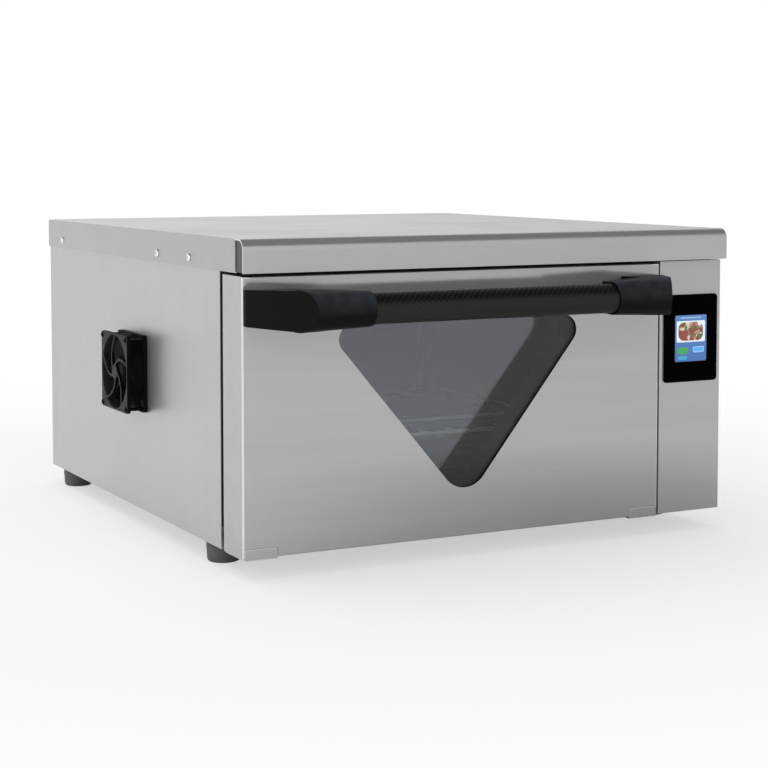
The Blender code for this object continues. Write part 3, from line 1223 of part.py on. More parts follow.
def make_door():
    """Two folded skins with a pane behind each window, and a dark frame between the panes."""
    low = (DOOR_LEFT, 0, 0)
    high = (DOOR_RIGHT, DOOR_THICKNESS, DOOR_TOP)
    outer = open_box("door_outer_skin", low, high, DOOR_SHEET, (0, 1, 0), "brushed_steel", door_pivot)
    inset = DOOR_SHEET + FIT
    low = (DOOR_LEFT + inset, DOOR_THICKNESS - DOOR_TRAY_DEPTH, inset)
    high = (DOOR_RIGHT - inset, DOOR_THICKNESS, DOOR_TOP - inset)
    inner = open_box("door_inner_skin", low, high, DOOR_SHEET, (0, -1, 0), "bright_steel", door_pivot)
    for name, x, sign in hinge_sides():
        cut(outer, fitting_box("outer_corner_" + name, sign, FIT), arm_slot("outer", name, x))
        cut(inner, fitting_box("inner_corner_" + name, sign, FIT), arm_slot("inner", name, x))
        lug_x = DOOR_LEFT if sign < 0 else DOOR_RIGHT
        lug_end = lug_x - sign * (HINGE_FITTING_WIDTH + FIT)
        lug_low = (min(lug_x, lug_end), HINGE_Y - HINGE_LUG_DEPTH / 2 - FIT, 0)
        lug_top = HINGE_FITTING_CAP_HEIGHT + HINGE_LUG_HEIGHT + FIT
        lug_high = (max(lug_x, lug_end), HINGE_Y + HINGE_LUG_DEPTH / 2 + FIT, lug_top)
        cut(inner, box("inner_lug_room_" + name, lug_low, lug_high))

    window_top = DOOR_TOP - WINDOW_BELOW_DOOR_TOP
    depth = DOOR_SHEET + 2 * CUT_OVERRUN
    outline = outline_mesh("outer_window", window_outline(0), depth, "Y")
    cut(outer, place("outer_window", outline, (DOOR_MIDDLE, DOOR_SHEET / 2, window_top)))
    outline = outline_mesh("inner_window", window_outline(-WINDOW_INNER_MARGIN), depth, "Y")
    cut(inner, place("inner_window", outline, (DOOR_MIDDLE, DOOR_THICKNESS - DOOR_SHEET / 2, window_top)))
    for name, x, y, z in handle_screw_places():
        start, end = (x, y - CUT_OVERRUN, z), (x, y + DOOR_SHEET + CUT_OVERRUN, z)
        cut(outer, rod("skin_" + name, start, end, HANDLE_SCREW_RADIUS + FIT))

    half_width = WINDOW_HALF_WIDTH + GLASS_MARGIN
    bottom = window_top - WINDOW_HEIGHT
    top = window_top + GLASS_MARGIN
    outer_pane = DOOR_SHEET + FIT
    low = (DOOR_MIDDLE - half_width, outer_pane, bottom)
    high = (DOOR_MIDDLE + half_width, outer_pane + GLASS_THICKNESS, top)
    box("outer_glass", low, high, "smoked_glass", door_pivot)
    inner_pane = DOOR_THICKNESS - DOOR_SHEET - FIT
    low = (DOOR_MIDDLE - half_width, inner_pane - GLASS_THICKNESS, bottom)
    high = (DOOR_MIDDLE + half_width, inner_pane, top)
    box("inner_glass", low, high, "smoked_glass", door_pivot)

    front = outer_pane + GLASS_THICKNESS + FIT
    back = inner_pane - GLASS_THICKNESS - FIT
    frame_outline = window_outline(WINDOW_FRAME_MARGIN + WINDOW_FRAME_WALL)
    mesh = outline_mesh("window_frame", frame_outline, back - front, "Y")
    location = (DOOR_MIDDLE, (front + back) / 2, window_top)
    frame = place("window_frame", mesh, location, "dark_enamel", door_pivot)
    depth += back - front
    inside = outline_mesh("window_frame_inside", window_outline(WINDOW_FRAME_MARGIN), depth, "Y")
    cut(frame, place("window_frame_inside", inside, location))


def handle_foot_outline():
    """A handle end's foot seen from above, as (X, Y) from the outer end of its face on the door."""
    behind = -HANDLE_STANDOFF + HANDLE_TUBE_DIAMETER / 2 + FIT + HANDLE_COLLAR_WALL
    return rounded_outline(
        (
            ((0, -FIT), 0),
            ((HANDLE_FOOT_LENGTH, -FIT), 0),
            ((HANDLE_FOOT_LENGTH, behind), HANDLE_FOOT_FILLET),
            ((HANDLE_END_LENGTH, behind), 0),
            ((HANDLE_END_LENGTH, -HANDLE_STANDOFF), 0),
            ((0, -HANDLE_STANDOFF), 0),
        )
    )


def handle_end(name, sign, edge):
    """A foot on the door joined to a round collar, both cut off at a slant beyond a short straight side."""
    height = 2 * (HANDLE_KNEE_RADIUS + CUT_OVERRUN)
    foot = outline_mesh(name, [(-sign * x, y) for x, y in handle_foot_outline()], height, "Z")
    end = place(name, foot, (edge, 0, HANDLE_Z), "black_plastic", door_pivot)
    low, high = HANDLE_FOOT_HEIGHT / 2, HANDLE_KNEE_RADIUS
    section = ((CUT_OVERRUN, -low), (-HANDLE_STANDOFF, -high), (-HANDLE_STANDOFF, high), (CUT_OVERRUN, low))
    wedge = outline_mesh(name + "_wedge", section, 2 * (HANDLE_END_LENGTH + CUT_OVERRUN), "X")
    combine(end, place(name + "_wedge", wedge, (edge, 0, HANDLE_Z)), "INTERSECT")

    collar_radius = HANDLE_TUBE_DIAMETER / 2 + FIT + HANDLE_COLLAR_WALL
    taper = (HANDLE_KNEE_RADIUS - collar_radius) / (HANDLE_END_LENGTH - HANDLE_END_SLANT)
    outer_radius = collar_radius + taper * HANDLE_END_LENGTH
    radii = (outer_radius, collar_radius) if sign < 0 else (collar_radius, outer_radius)
    collar = cylinder_mesh(name + "_collar", radii[0], HANDLE_END_LENGTH, "X", FINE_SIDES, radii[1])
    middle = (edge - sign * HANDLE_END_LENGTH / 2, -HANDLE_STANDOFF, HANDLE_Z)
    join(end, place(name + "_collar", collar, middle))

    reach = 2 * HANDLE_STANDOFF + CUT_OVERRUN
    rise = HANDLE_END_SLANT / (HANDLE_STANDOFF + HANDLE_KNEE_RADIUS - HANDLE_END_STRAIGHT)
    over = HANDLE_END_LENGTH
    waste = (
        (rise * (reach - HANDLE_END_STRAIGHT), -reach),
        (-over, -reach),
        (-over, CUT_OVERRUN),
        (-rise * (HANDLE_END_STRAIGHT + CUT_OVERRUN), CUT_OVERRUN),
    )
    height = 2 * (outer_radius + CUT_OVERRUN)
    slant = outline_mesh(name + "_slant", [(-sign * x, y) for x, y in waste], height, "Z")
    cut(end, place(name + "_slant", slant, (edge, 0, HANDLE_Z)))
    return end


def handle_screw_places():
    """Where each handle end is screwed on, from inside the door's outer skin."""
    inset = HANDLE_END_INSET + HANDLE_FOOT_LENGTH / 2
    return (
        ("handle_screw_left", DOOR_LEFT + inset, 0, HANDLE_Z),
        ("handle_screw_right", DOOR_RIGHT - inset, 0, HANDLE_Z),
    )


def make_handle():
    """A woven tube between two plastic ends that stand off the door."""
    inset = HANDLE_END_INSET + HANDLE_END_LENGTH
    tube_end = DOOR_WIDTH / 2 - inset + HANDLE_TUBE_SEAT
    outer = HANDLE_TUBE_DIAMETER / 2
    inner = outer - HANDLE_TUBE_WALL
    profile = ((inner, tube_end), (outer, tube_end), (outer, -tube_end), (inner, -tube_end))
    location = (DOOR_MIDDLE, -HANDLE_STANDOFF, HANDLE_Z)
    turned("handle_tube", profile, "X", location, "carbon_tube", door_pivot, ring=True)
    for name, x, y, z in handle_screw_places():
        sign = -1 if x < DOOR_MIDDLE else 1
        edge = DOOR_LEFT if sign < 0 else DOOR_RIGHT
        end_name = name.replace("screw", "end")
        end = handle_end(end_name, sign, edge - sign * HANDLE_END_INSET)
        seat = HANDLE_TUBE_SEAT + FIT
        mouth = edge - sign * (inset + CUT_OVERRUN)
        bottom = edge - sign * (inset - seat)
        start, finish_point = (mouth, -HANDLE_STANDOFF, z), (bottom, -HANDLE_STANDOFF, z)
        cut(end, rod(end_name + "_tube_seat", start, finish_point, outer + FIT, sides=FINE_SIDES))
        start, finish_point = (x, CUT_OVERRUN, z), (x, -HANDLE_SCREW_GRIP - FIT, z)
        cut(end, rod(end_name + "_screw_hole", start, finish_point, HANDLE_SCREW_RADIUS + FIT))
        screw_profile = (
            (0, FIT + HANDLE_SCREW_HEAD),
            (HANDLE_SCREW_HEAD_RADIUS, FIT + HANDLE_SCREW_HEAD),
            (HANDLE_SCREW_HEAD_RADIUS, FIT),
            (HANDLE_SCREW_RADIUS, FIT),
            (HANDLE_SCREW_RADIUS, -DOOR_SHEET - HANDLE_SCREW_GRIP),
            (0, -DOOR_SHEET - HANDLE_SCREW_GRIP),
        )
        turned(name, screw_profile, "Y", (x, DOOR_SHEET, z), "bright_steel", door_pivot, sides=SMALL_SIDES)


clear_scene()
parts = new_collection("speed_oven")
helpers = new_collection("cutters")
datum = new_empty("oven_datum", DATUM)
door_pivot = new_empty("door_pivot", HINGE_AXIS, datum)

make_base_pan()
make_feet()
make_side_panels()
make_front_frame()
make_back_panel()
make_cord_gland()
make_top_cover()
make_cover_screws()
make_cavity()
make_temperature_control()
make_rack()
make_baffle()
make_convection_fan()
make_convection_motor()
make_heater()
make_control_column()
make_power_board()
make_cooling_fan()
make_hinges()
make_hinge_fittings()
make_door()
make_handle()
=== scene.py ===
# %% [markdown]
# # A countertop speed oven
# The oven is a folded stainless cabinet with a drop-down door, a woven handle, a touch display and a small
# square fan on its left side. A CAD model already fixes every size, so this script only gives it its looks:
# rounded sheet edges, curved blades, wires and real surfaces. The CAD model is loaded first and never moved.

# %% Load the CAD frame
import json
import math

import bmesh
import bpy
from mathutils import Matrix, Vector


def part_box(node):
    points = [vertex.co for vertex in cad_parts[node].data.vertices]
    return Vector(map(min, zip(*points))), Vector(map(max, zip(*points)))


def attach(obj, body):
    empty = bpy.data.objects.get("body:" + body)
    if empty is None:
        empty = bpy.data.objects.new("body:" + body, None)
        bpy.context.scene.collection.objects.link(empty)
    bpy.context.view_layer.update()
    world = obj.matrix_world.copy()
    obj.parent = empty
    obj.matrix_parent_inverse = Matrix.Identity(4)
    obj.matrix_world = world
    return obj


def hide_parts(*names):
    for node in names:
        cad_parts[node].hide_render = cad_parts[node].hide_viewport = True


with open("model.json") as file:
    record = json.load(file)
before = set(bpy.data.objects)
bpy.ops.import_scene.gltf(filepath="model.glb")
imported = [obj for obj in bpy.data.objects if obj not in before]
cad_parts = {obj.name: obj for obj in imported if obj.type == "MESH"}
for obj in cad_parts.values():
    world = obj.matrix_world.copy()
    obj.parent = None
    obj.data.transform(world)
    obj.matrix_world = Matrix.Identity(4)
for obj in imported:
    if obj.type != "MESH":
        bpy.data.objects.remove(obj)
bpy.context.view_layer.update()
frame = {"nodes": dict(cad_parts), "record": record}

# %% [markdown]
# All sizes below are in millimetres, measured the way a fitter would measure the oven: to the right of the
# cabinet's middle, back from the door's face, and up from the cabinet's underside. One function turns them
# into a point of the frame, and it takes its zero from the CAD nodes, so nothing has to be fitted by hand.

# %% Measure from the oven itself
MM = 0.001
zero = Vector((
    (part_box("left_side_panel")[0].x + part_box("right_side_panel")[1].x) / 2,
    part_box("door_outer_skin")[0].y,
    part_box("left_side_panel")[0].z,
))


def at(x, y, z):
    """A point of the frame, from those millimetres."""
    return zero + Vector((x, y, z)) * MM


def box_mm(node):
    """A CAD node's lowest and highest corners in the same millimetres."""
    low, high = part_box(node)
    return (low - zero) / MM, (high - zero) / MM


def middle_of(node):
    low, high = box_mm(node)
    return (low + high) / 2


print("zero", [round(value, 4) for value in zero])

# %% [markdown]
# The photograph was taken from the left at about counter height, with a long lens. The camera could be placed
# by eye, but the oven's edges are straight and their lengths are known, so its place, turn and lens were
# worked out from the corners. A small upward shift of the lens keeps the cabinet's upright edges upright.

# %% Camera
CAMERA_PLACE = (-1032.6, -1712.2, 420.9)
LOOKS_DOWN, LOOKS_RIGHT = 3.548, 27.44
LENS, LENS_SHIFT = 83.88, -0.15
camera = bpy.data.objects.new("camera", bpy.data.cameras.new("camera"))
bpy.context.scene.collection.objects.link(camera)
camera.location = at(*CAMERA_PLACE)
camera.rotation_euler = (math.radians(90 - LOOKS_DOWN), 0, math.radians(-LOOKS_RIGHT))
camera.data.sensor_width = 36
camera.data.lens = LENS
camera.data.shift_y = LENS_SHIFT
bpy.context.scene.camera = camera
bpy.context.scene.view_settings.view_transform = "Standard"
print("camera", [round(value, 3) for value in camera.location])

# %% [markdown]
# Steel shows its surroundings more than its own colour. In a photo studio that is a bright wall all round
# and a darker ceiling: the wall makes the flat panels light, and the ceiling draws the dark line along the
# cover's rounded nose. The world gets this as a simple gradient by height. It also dims a little to the right
# and to the back, away from the window side of the studio. The camera itself sees white.


# %% Node helpers
def add(tree, kind, wires=None, **settings):
    """Adds a node, sets its properties, and fills or links the inputs named in wires."""
    made = tree.nodes.new(kind)
    for name, value in settings.items():
        setattr(made, name, value)
    for name, value in (wires or {}).items():
        if isinstance(value, bpy.types.NodeSocket):
            tree.links.new(value, made.inputs[name])
        else:
            made.inputs[name].default_value = value
    return made


def maths(tree, operation, first, second):
    """One operation on two values."""
    return add(tree, "ShaderNodeMath", {0: first, 1: second}, operation=operation).outputs[0]


def vectors(tree, operation, first, second=(0, 0, 0)):
    """One operation on two vectors. It gives a vector and a value."""
    return add(tree, "ShaderNodeVectorMath", {0: first, 1: second}, operation=operation).outputs


def stretched(tree, value, low, high, start=0.0, stop=1.0, kind="LINEAR"):
    """A value taken from one range to another and held at the ends."""
    return add(tree, "ShaderNodeMapRange", {
        "Value": value, "From Min": low, "From Max": high, "To Min": start, "To Max": stop,
    }, interpolation_type=kind).outputs[0]


def split(tree, vector):
    """A vector's X, Y and Z."""
    return add(tree, "ShaderNodeSeparateXYZ", {0: vector}).outputs


print("node helpers ready")

# %% World
WALL, CEILING = 1.0, 0.23
CEILING_STARTS, CEILING_FULL = 0.50, 0.72
world = bpy.data.worlds.new("studio")
bpy.context.scene.world = world
world.use_nodes = True
sky = world.node_tree
sky.nodes.clear()
toward = split(sky, add(sky, "ShaderNodeTexCoord").outputs["Generated"])
light = stretched(sky, toward["Z"], CEILING_STARTS, CEILING_FULL, WALL, CEILING, "SMOOTHSTEP")
for axis, start, stop, dimmest in (("X", 0.30, 0.65, 0.75), ("Y", 0.0, 0.85, 0.90)):
    light = maths(sky, "MULTIPLY", light, stretched(sky, toward[axis], start, stop, 1.0, dimmest))
rays = add(sky, "ShaderNodeLightPath").outputs
seen = maths(sky, "MAXIMUM", rays["Is Camera Ray"], rays["Is Transmission Ray"])
level = add(sky, "ShaderNodeMix", {0: seen, 2: light, 3: 1.0}).outputs[0]
background = add(sky, "ShaderNodeBackground", {"Color": (1, 1, 1, 1), "Strength": level})
add(sky, "ShaderNodeOutputWorld", {"Surface": background.outputs[0]})
print("world", WALL, CEILING)

# %% [markdown]
# The dark ceiling takes light away from black plastic and from the floor, so a very soft sun from nearly
# overhead puts it back. It is hidden from reflections, or it would break the nose's dark line. A sun lights
# the floor equally far out, which matters here: the door is a mirror, and half of what it shows is floor.

# %% Lamp
SUN_STRENGTH, SUN_WIDTH = 1.5, 70
SUN_LEANS_BACK, SUN_LEANS_LEFT = 14, 12
sun = bpy.data.lights.new("soft_sun", "SUN")
sun.energy = SUN_STRENGTH
sun.angle = math.radians(SUN_WIDTH)
sun_holder = bpy.data.objects.new("soft_sun", sun)
bpy.context.scene.collection.objects.link(sun_holder)
sun_holder.rotation_euler = (math.radians(-SUN_LEANS_BACK), math.radians(-SUN_LEANS_LEFT), 0)
sun_holder.visible_glossy = False

# %% [markdown]
# The floor is white paper. Near the oven the camera sees it as it is, with its soft shadow. Further out it
# fades to pure white for the camera alone, so that there is no horizon behind the oven. What the steel
# mirrors has painted shade: for glossy rays alone the paper is made a little darker to the right, and most
# of all close to the door's lower right corner, as if less light reached the table there.

# %% Floor
PAPER = 0.94
FADE_STARTS, FADE_ENDS, LEAST_FADE = 0.55, 1.5, 0.55
DIM_CORNER, DIM_FROM, DIM_TO, DIMMEST = (0.31, -0.45, 0), 0.05, 0.60, 0.54
floor_mesh = bpy.data.meshes.new("floor")
bm = bmesh.new()
bmesh.ops.create_grid(bm, x_segments=1, y_segments=1, size=30)
bm.to_mesh(floor_mesh)
bm.free()
floor = bpy.data.objects.new("floor", floor_mesh)
bpy.context.scene.collection.objects.link(floor)
paper = bpy.data.materials.new("white paper floor")
paper.use_nodes = True
paper.cycles.emission_sampling = "NONE"
sheet = paper.node_tree
sheet.nodes.clear()
rays = add(sheet, "ShaderNodeLightPath").outputs
place = add(sheet, "ShaderNodeTexCoord").outputs["Object"]
spread = vectors(sheet, "LENGTH", place)["Value"]
far = stretched(sheet, spread, FADE_STARTS, FADE_ENDS, LEAST_FADE, 1.0, "SMOOTHSTEP")
share = maths(sheet, "MULTIPLY", far, rays["Is Camera Ray"])
across = split(sheet, place)["X"]
# Painted shade in reflections: for glossy rays the paper darkens near the door's lower right corner and to
# the right.
from_corner = vectors(sheet, "DISTANCE", place, DIM_CORNER)["Value"]
mirrored_painted_shade = stretched(sheet, from_corner, DIM_FROM, DIM_TO, DIMMEST, 1.0, "SMOOTHSTEP")
for start, stop, dimmest in ((0.35, 1.0, 0.91), (1.0, 6.0, 0.87)):
    mirrored_painted_shade = maths(sheet, "MULTIPLY", mirrored_painted_shade, stretched(sheet, across, start, stop, 1.0, dimmest))
tone = add(sheet, "ShaderNodeMix", {0: rays["Is Glossy Ray"], 2: PAPER, 3: mirrored_painted_shade})
matt = add(sheet, "ShaderNodeBsdfDiffuse", {"Color": tone.outputs[0]})
glow = add(sheet, "ShaderNodeEmission", {"Color": (1, 1, 1, 1), "Strength": 1.0})
blend = add(sheet, "ShaderNodeMixShader", {0: share, 1: matt.outputs[0], 2: glow.outputs[0]})
add(sheet, "ShaderNodeOutputMaterial", {"Surface": blend.outputs[0]})
floor_mesh.materials.append(paper)
print("floor", floor.dimensions[:2])

# %% [markdown]
# ## Shared surface effects
# Real surfaces differ from spot to spot. Four effects come back in many finishes, so each is a node group,
# built once: the fine parallel scratches of brushed metal, soft smudges from hands and cleaning, the tiny
# speckle of moulded plastic and enamel, and a pale layer on faces that look one way. That layer is dust;
# on the handle's plastic and the fan's front it is also a painted sheen.


# %% Group helper
def group(name, inputs, *outputs):
    """A shader node group. Its inputs are floats or vectors with their usual values, its outputs floats."""
    made = bpy.data.node_groups.new(name, "ShaderNodeTree")
    for label, value in inputs.items():
        kind = "NodeSocketVector" if isinstance(value, tuple) else "NodeSocketFloat"
        made.interface.new_socket(label, in_out="INPUT", socket_type=kind).default_value = value
    for label in outputs:
        made.interface.new_socket(label, in_out="OUTPUT", socket_type="NodeSocketFloat")
    print("group", name, list(inputs), "to", outputs)
    return made, made.nodes.new("NodeGroupInput").outputs, made.nodes.new("NodeGroupOutput").inputs


def cloud(tree, vector, scale, **settings):
    """A noise pattern. The settings are its other sockets, such as Detail and Roughness."""
    return add(tree, "ShaderNodeTexNoise", {"Vector": vector, "Scale": scale, **settings}).outputs[0]


# %% Brushed grain
brushed, into, out = group(
    "brushed grain", {"Vector": (0, 0, 0), "Stretch": (6, 900, 900)}, "Streaks", "Bands",
)
drawn = vectors(brushed, "MULTIPLY", into["Vector"], into["Stretch"])[0]
wide = vectors(brushed, "MULTIPLY", drawn, (0.4, 0.06, 0.06))[0]
brushed.links.new(cloud(brushed, drawn, 1, Detail=4, Roughness=0.6), out["Streaks"])
brushed.links.new(cloud(brushed, wide, 1, Detail=2), out["Bands"])

# %% Smudges
smudges, into, out = group("smudges", {"Vector": (0, 0, 0), "Scale": 9}, "Mask")
blur = cloud(smudges, into["Vector"], into["Scale"], Detail=5, Distortion=0.6)
smudges.links.new(stretched(smudges, blur, 0.42, 0.68, kind="SMOOTHSTEP"), out["Mask"])

# %% Speckle
speckle, into, out = group(
    "speckle", {"Vector": (0, 0, 0), "Scale": 1500, "Cover": 0.5}, "Grain", "Spots",
)
cells = add(speckle, "ShaderNodeTexVoronoi", {"Vector": into["Vector"], "Scale": into["Scale"]})
near = maths(speckle, "LESS_THAN", cells.outputs["Distance"], into["Cover"])
speckle.links.new(cloud(speckle, into["Vector"], into["Scale"], Detail=2), out["Grain"])
speckle.links.new(near, out["Spots"])

# %% Dust and painted sheen
dust_and_sheen, into, out = group("dust_and_sheen", {"Vector": (0, 0, 0), "Normal": (0, 0, 1), "Amount": 0.3}, "Mask")
facing = stretched(dust_and_sheen, split(dust_and_sheen, into["Normal"])["Z"], 0.2, 0.9)
lies = maths(dust_and_sheen, "MULTIPLY", facing, cloud(dust_and_sheen, into["Vector"], 60, Detail=6))
dust_and_sheen.links.new(maths(dust_and_sheen, "MULTIPLY", lies, into["Amount"]), out["Mask"])

# %% [markdown]
# ## Finishes
# Every finish starts the same way: a Principled shader, the object's own coordinates and one bump. A helper
# sets these up, and each finish then says what is special about it. Numbers that are the same all over a
# surface, such as coat or index of refraction, are set on the shader itself.

# %% Finish helper
finishes = {}


class Finish:
    """A material with its Principled shader, object coordinates, and ways to mix colours and values."""

    def __init__(self, name, **shader):
        finishes[name] = bpy.data.materials.new(name)
        finishes[name].use_nodes = True
        self.tree = finishes[name].node_tree
        self.tree.nodes.clear()
        self.shader = add(self.tree, "ShaderNodeBsdfPrincipled", {
            label.replace("_", " ").title().replace("Ior", "IOR"): value for label, value in shader.items()
        })
        add(self.tree, "ShaderNodeOutputMaterial", {"Surface": self.shader.outputs[0]})
        self.place = add(self.tree, "ShaderNodeTexCoord").outputs["Object"]

    def effect(self, shared, **values):
        """One of the shared effects, on this material's own coordinates."""
        wires = {"Vector": self.place, **{label.title(): value for label, value in values.items()}}
        return add(self.tree, "ShaderNodeGroup", wires, node_tree=shared).outputs

    def ramp(self, value, low, high, start=0.0, stop=1.0):
        """A value taken from one range to another."""
        return stretched(self.tree, value, low, high, start, stop)

    def mix(self, share, first, second):
        """Two colours mixed by a share."""
        return add(self.tree, "ShaderNodeMix", {0: share, 6: first, 7: second}, data_type="RGBA").outputs[2]

    def sum(self, first, second, operation="ADD"):
        """Two values added, or taken together in another way."""
        return maths(self.tree, operation, first, second)

    def normal(self):
        """The way that the surface faces."""
        return add(self.tree, "ShaderNodeNewGeometry").outputs["Normal"]

    def wire(self, label, value):
        self.tree.links.new(value, self.shader.inputs[label])

    def bump(self, height, distance):
        """The height in metres that turns the surface's normal."""
        made = add(self.tree, "ShaderNodeBump", {"Height": height, "Distance": distance, "Strength": 1.0})
        self.wire("Normal", made.outputs[0])


def grey(value, warmth=0.0):
    """A grey in the shader's own linear scale, a little warm or cold."""
    return (value * (1 + warmth), value, value * (1 - warmth), 1)


print("finish helper ready")

# %% [markdown]
# Brushed stainless steel is metal with fine scratches that all run one way. Its grey comes from the metal's
# own colour, and the scratches show as faint streaks and as a gloss that is drawn out across them. A bump of
# one or two thousandths of a millimetre is enough. The steepest scratches scatter light all ways, so a share
# of the surface is matt, and the rest mirrors crisply. The direction of brushing is an input, because the
# front panels are brushed sideways and the side panels upwards.

# %% Brushed steel
SCRATCH_DEPTH = 0.0000015


def steel(name, stretch, value, warmth, roughness, contrast=0.045, metal=1.0, front=0.0):
    """Steel brushed along the shortest stretch. The front is a painted highlight: how much lighter its
    forward faces are painted.
    """
    made = Finish(name, metallic=metal, roughness=roughness, specular_ior_level=0.3)
    grain = made.effect(brushed, stretch=stretch)
    marks = made.effect(smudges, scale=7.0)["Mask"]
    streaks, bands = made.ramp(grain["Streaks"], 0.25, 0.75), made.ramp(grain["Bands"], 0.3, 0.7)
    light, dark = grey(value * (1 + contrast), warmth), grey(value * (1 - contrast), warmth)
    colour = made.mix(made.sum(streaks, bands, "MULTIPLY"), dark, light)
    # Painted light: faces that look forward are given a lighter grey by the front share.
    if front:
        painted_light_ahead = made.ramp(split(made.tree, made.normal())["Y"], -0.92, -1.0)
        colour = made.mix(painted_light_ahead, colour, grey(value * (1 + front), warmth))
    made.wire("Base Color", colour)
    worn = made.ramp(grain["Streaks"], 0.2, 0.8, roughness * 0.88, roughness * 1.12)
    made.wire("Roughness", made.sum(worn, made.ramp(marks, 0, 1, 0, 0.04)))
    made.bump(grain["Streaks"], SCRATCH_DEPTH)


steel("front_steel", (5, 700, 1100), 0.505, -0.004, 0.10, metal=0.62)
# The cover's forward-looking lip and nose get painted light by the front share.
steel("cover_steel", (5, 1100, 1100), 0.46, 0.0, 0.20, metal=0.75, front=0.11)
steel("side_panel_steel", (1100, 700, 5), 0.55, -0.016, 0.34, 0.02, metal=0.8)
# A dark steel for the lip tabs: its darkness is painted shade.
steel("fold_steel_painted_shade", (5, 700, 1100), 0.14, -0.03, 0.45)
steel("bright_steel", (40, 900, 900), 0.80, -0.004, 0.18, 0.03)
steel("screw_steel", (300, 300, 300), 0.96, 0.0, 0.30, 0.02)
steel("wire_steel", (40, 900, 900), 0.62, -0.01, 0.55, 0.03, metal=0.5)
print("steels", sorted(finishes))

# %% [markdown]
# Galvanised sheet has frozen zinc crystals, called spangle. Voronoi cells give each crystal its own grey and
# its own gloss. It is used for the base, the back and the hinge arms, which a buyer hardly sees.

# %% Galvanised steel
zinc = Finish("galvanised_steel", metallic=0.9, roughness=0.42)
crystals = add(zinc.tree, "ShaderNodeTexVoronoi", {"Vector": zinc.place, "Scale": 110, "Randomness": 1})
crystal_grey = add(zinc.tree, "ShaderNodeSeparateColor", {0: crystals.outputs["Color"]}).outputs[0]
zinc.wire("Base Color", zinc.mix(crystal_grey, grey(0.36, -0.02), grey(0.50, -0.02)))
zinc.wire("Roughness", zinc.ramp(crystal_grey, 0, 1, 0.34, 0.52))
zinc.bump(zinc.effect(speckle, scale=900.0)["Grain"], 0.00001)
print("zinc ready")

# %% [markdown]
# The cavity is coated with dark enamel: glassy, nearly black, with a fine pale speckle. A clear coat over a
# dark ground gives the deep shine, and soft smudges dull it where food has been.

# %% Dark enamel
# The front frame's enamel is dark so that the gaps round the door and under the lip are dark: painted shade.
for name, value in (("dark_enamel", 0.020), ("frame_enamel", 0.060)):
    enamel = Finish(name, roughness=0.40, coat_weight=0.12, coat_roughness=0.2, specular_ior_level=0.25)
    spots = enamel.effect(speckle, scale=900.0, cover=0.12)["Spots"]
    baked = enamel.effect(smudges, scale=14.0)["Mask"]
    ground = enamel.mix(baked, grey(value, -0.10), grey(value * 1.22, -0.05))
    enamel.wire("Base Color", enamel.mix(spots, ground, grey(value * 2.6, -0.06)))
    enamel.wire("Roughness", enamel.ramp(baked, 0, 1, 0.34, 0.48))
    enamel.bump(enamel.effect(speckle, scale=260.0)["Grain"], 0.000003)
    print("enamel", name)

# %% [markdown]
# The door has two panes. Real glass is modelled as a solid with a transmitting shader, so each of its four
# faces adds its own faint reflection, and that is what makes a dark oven look grey through its window. The
# inner pane has a coat that throws heat back, so it mirrors more. A slight tint and a few wiping marks in the
# roughness finish both.

# %% Glass
for name, index, tint in (("smoked_glass", 1.40, 0.93), ("coated_glass", 1.71, 0.90)):
    pane = Finish(name, transmission_weight=1.0, ior=index, roughness=0.0)
    wiped = pane.effect(smudges, scale=5.0)["Mask"]
    pane.wire("Base Color", pane.mix(wiped, grey(tint, -0.04), grey(tint - 0.02, -0.04)))
    pane.wire("Roughness", pane.ramp(wiped, 0, 1, 0.0, 0.003))
    print("glass", name, index)

# %% [markdown]
# Black parts differ mostly in gloss. The bezel is polished glass over black print. The handle ends and the
# fan are satin moulded plastic with a fine spark-eroded texture. The feet and the seal are soft and dull.


# %% Black glass, plastic, rubber and silicone
def moulded(name, value, roughness, scale, depth, warmth=0.0, dust_and_sheen_amount=0.05, specular=0.5, dust_and_sheen_facing=(0, 0, 1),
            dust_and_sheen_colour=(0.30, 0.29, 0.27, 1)):
    """A moulded finish with a fine grain, and a pale layer of dust and painted sheen on faces that look one
    way.
    """
    made = Finish(name, roughness=roughness, specular_ior_level=specular)
    skin = made.effect(speckle, scale=scale)["Grain"]
    touched = made.effect(smudges, scale=22.0)["Mask"]
    facing_dust_and_sheen = vectors(made.tree, "DOT_PRODUCT", made.normal(), dust_and_sheen_facing)["Value"]
    upward = add(made.tree, "ShaderNodeCombineXYZ", {"Z": facing_dust_and_sheen})
    dust_and_sheen_mask = made.effect(dust_and_sheen, normal=upward.outputs[0], amount=dust_and_sheen_amount)["Mask"]
    ground = made.mix(made.ramp(skin, 0.3, 0.7), grey(value * 0.85, warmth), grey(value * 1.15, warmth))
    made.wire("Base Color", made.mix(dust_and_sheen_mask, ground, dust_and_sheen_colour))
    made.wire("Roughness", made.sum(made.ramp(touched, 0, 1, roughness, roughness * 1.25), dust_and_sheen_mask))
    made.bump(skin, depth)


moulded("black_glass", 0.0006, 0.06, 300.0, 0.0000004, dust_and_sheen_amount=0.0, specular=0.012)
# The handle's plastic: a cool pale layer on faces that look up and forward, partly dust and partly a painted
# sheen.
moulded("black_plastic", 0.0032, 0.38, 2200.0, 0.000006, warmth=-0.05, dust_and_sheen_amount=0.17, specular=0.09,
        dust_and_sheen_facing=(0.3, -0.45, 0.84), dust_and_sheen_colour=(0.22, 0.26, 0.31, 1))
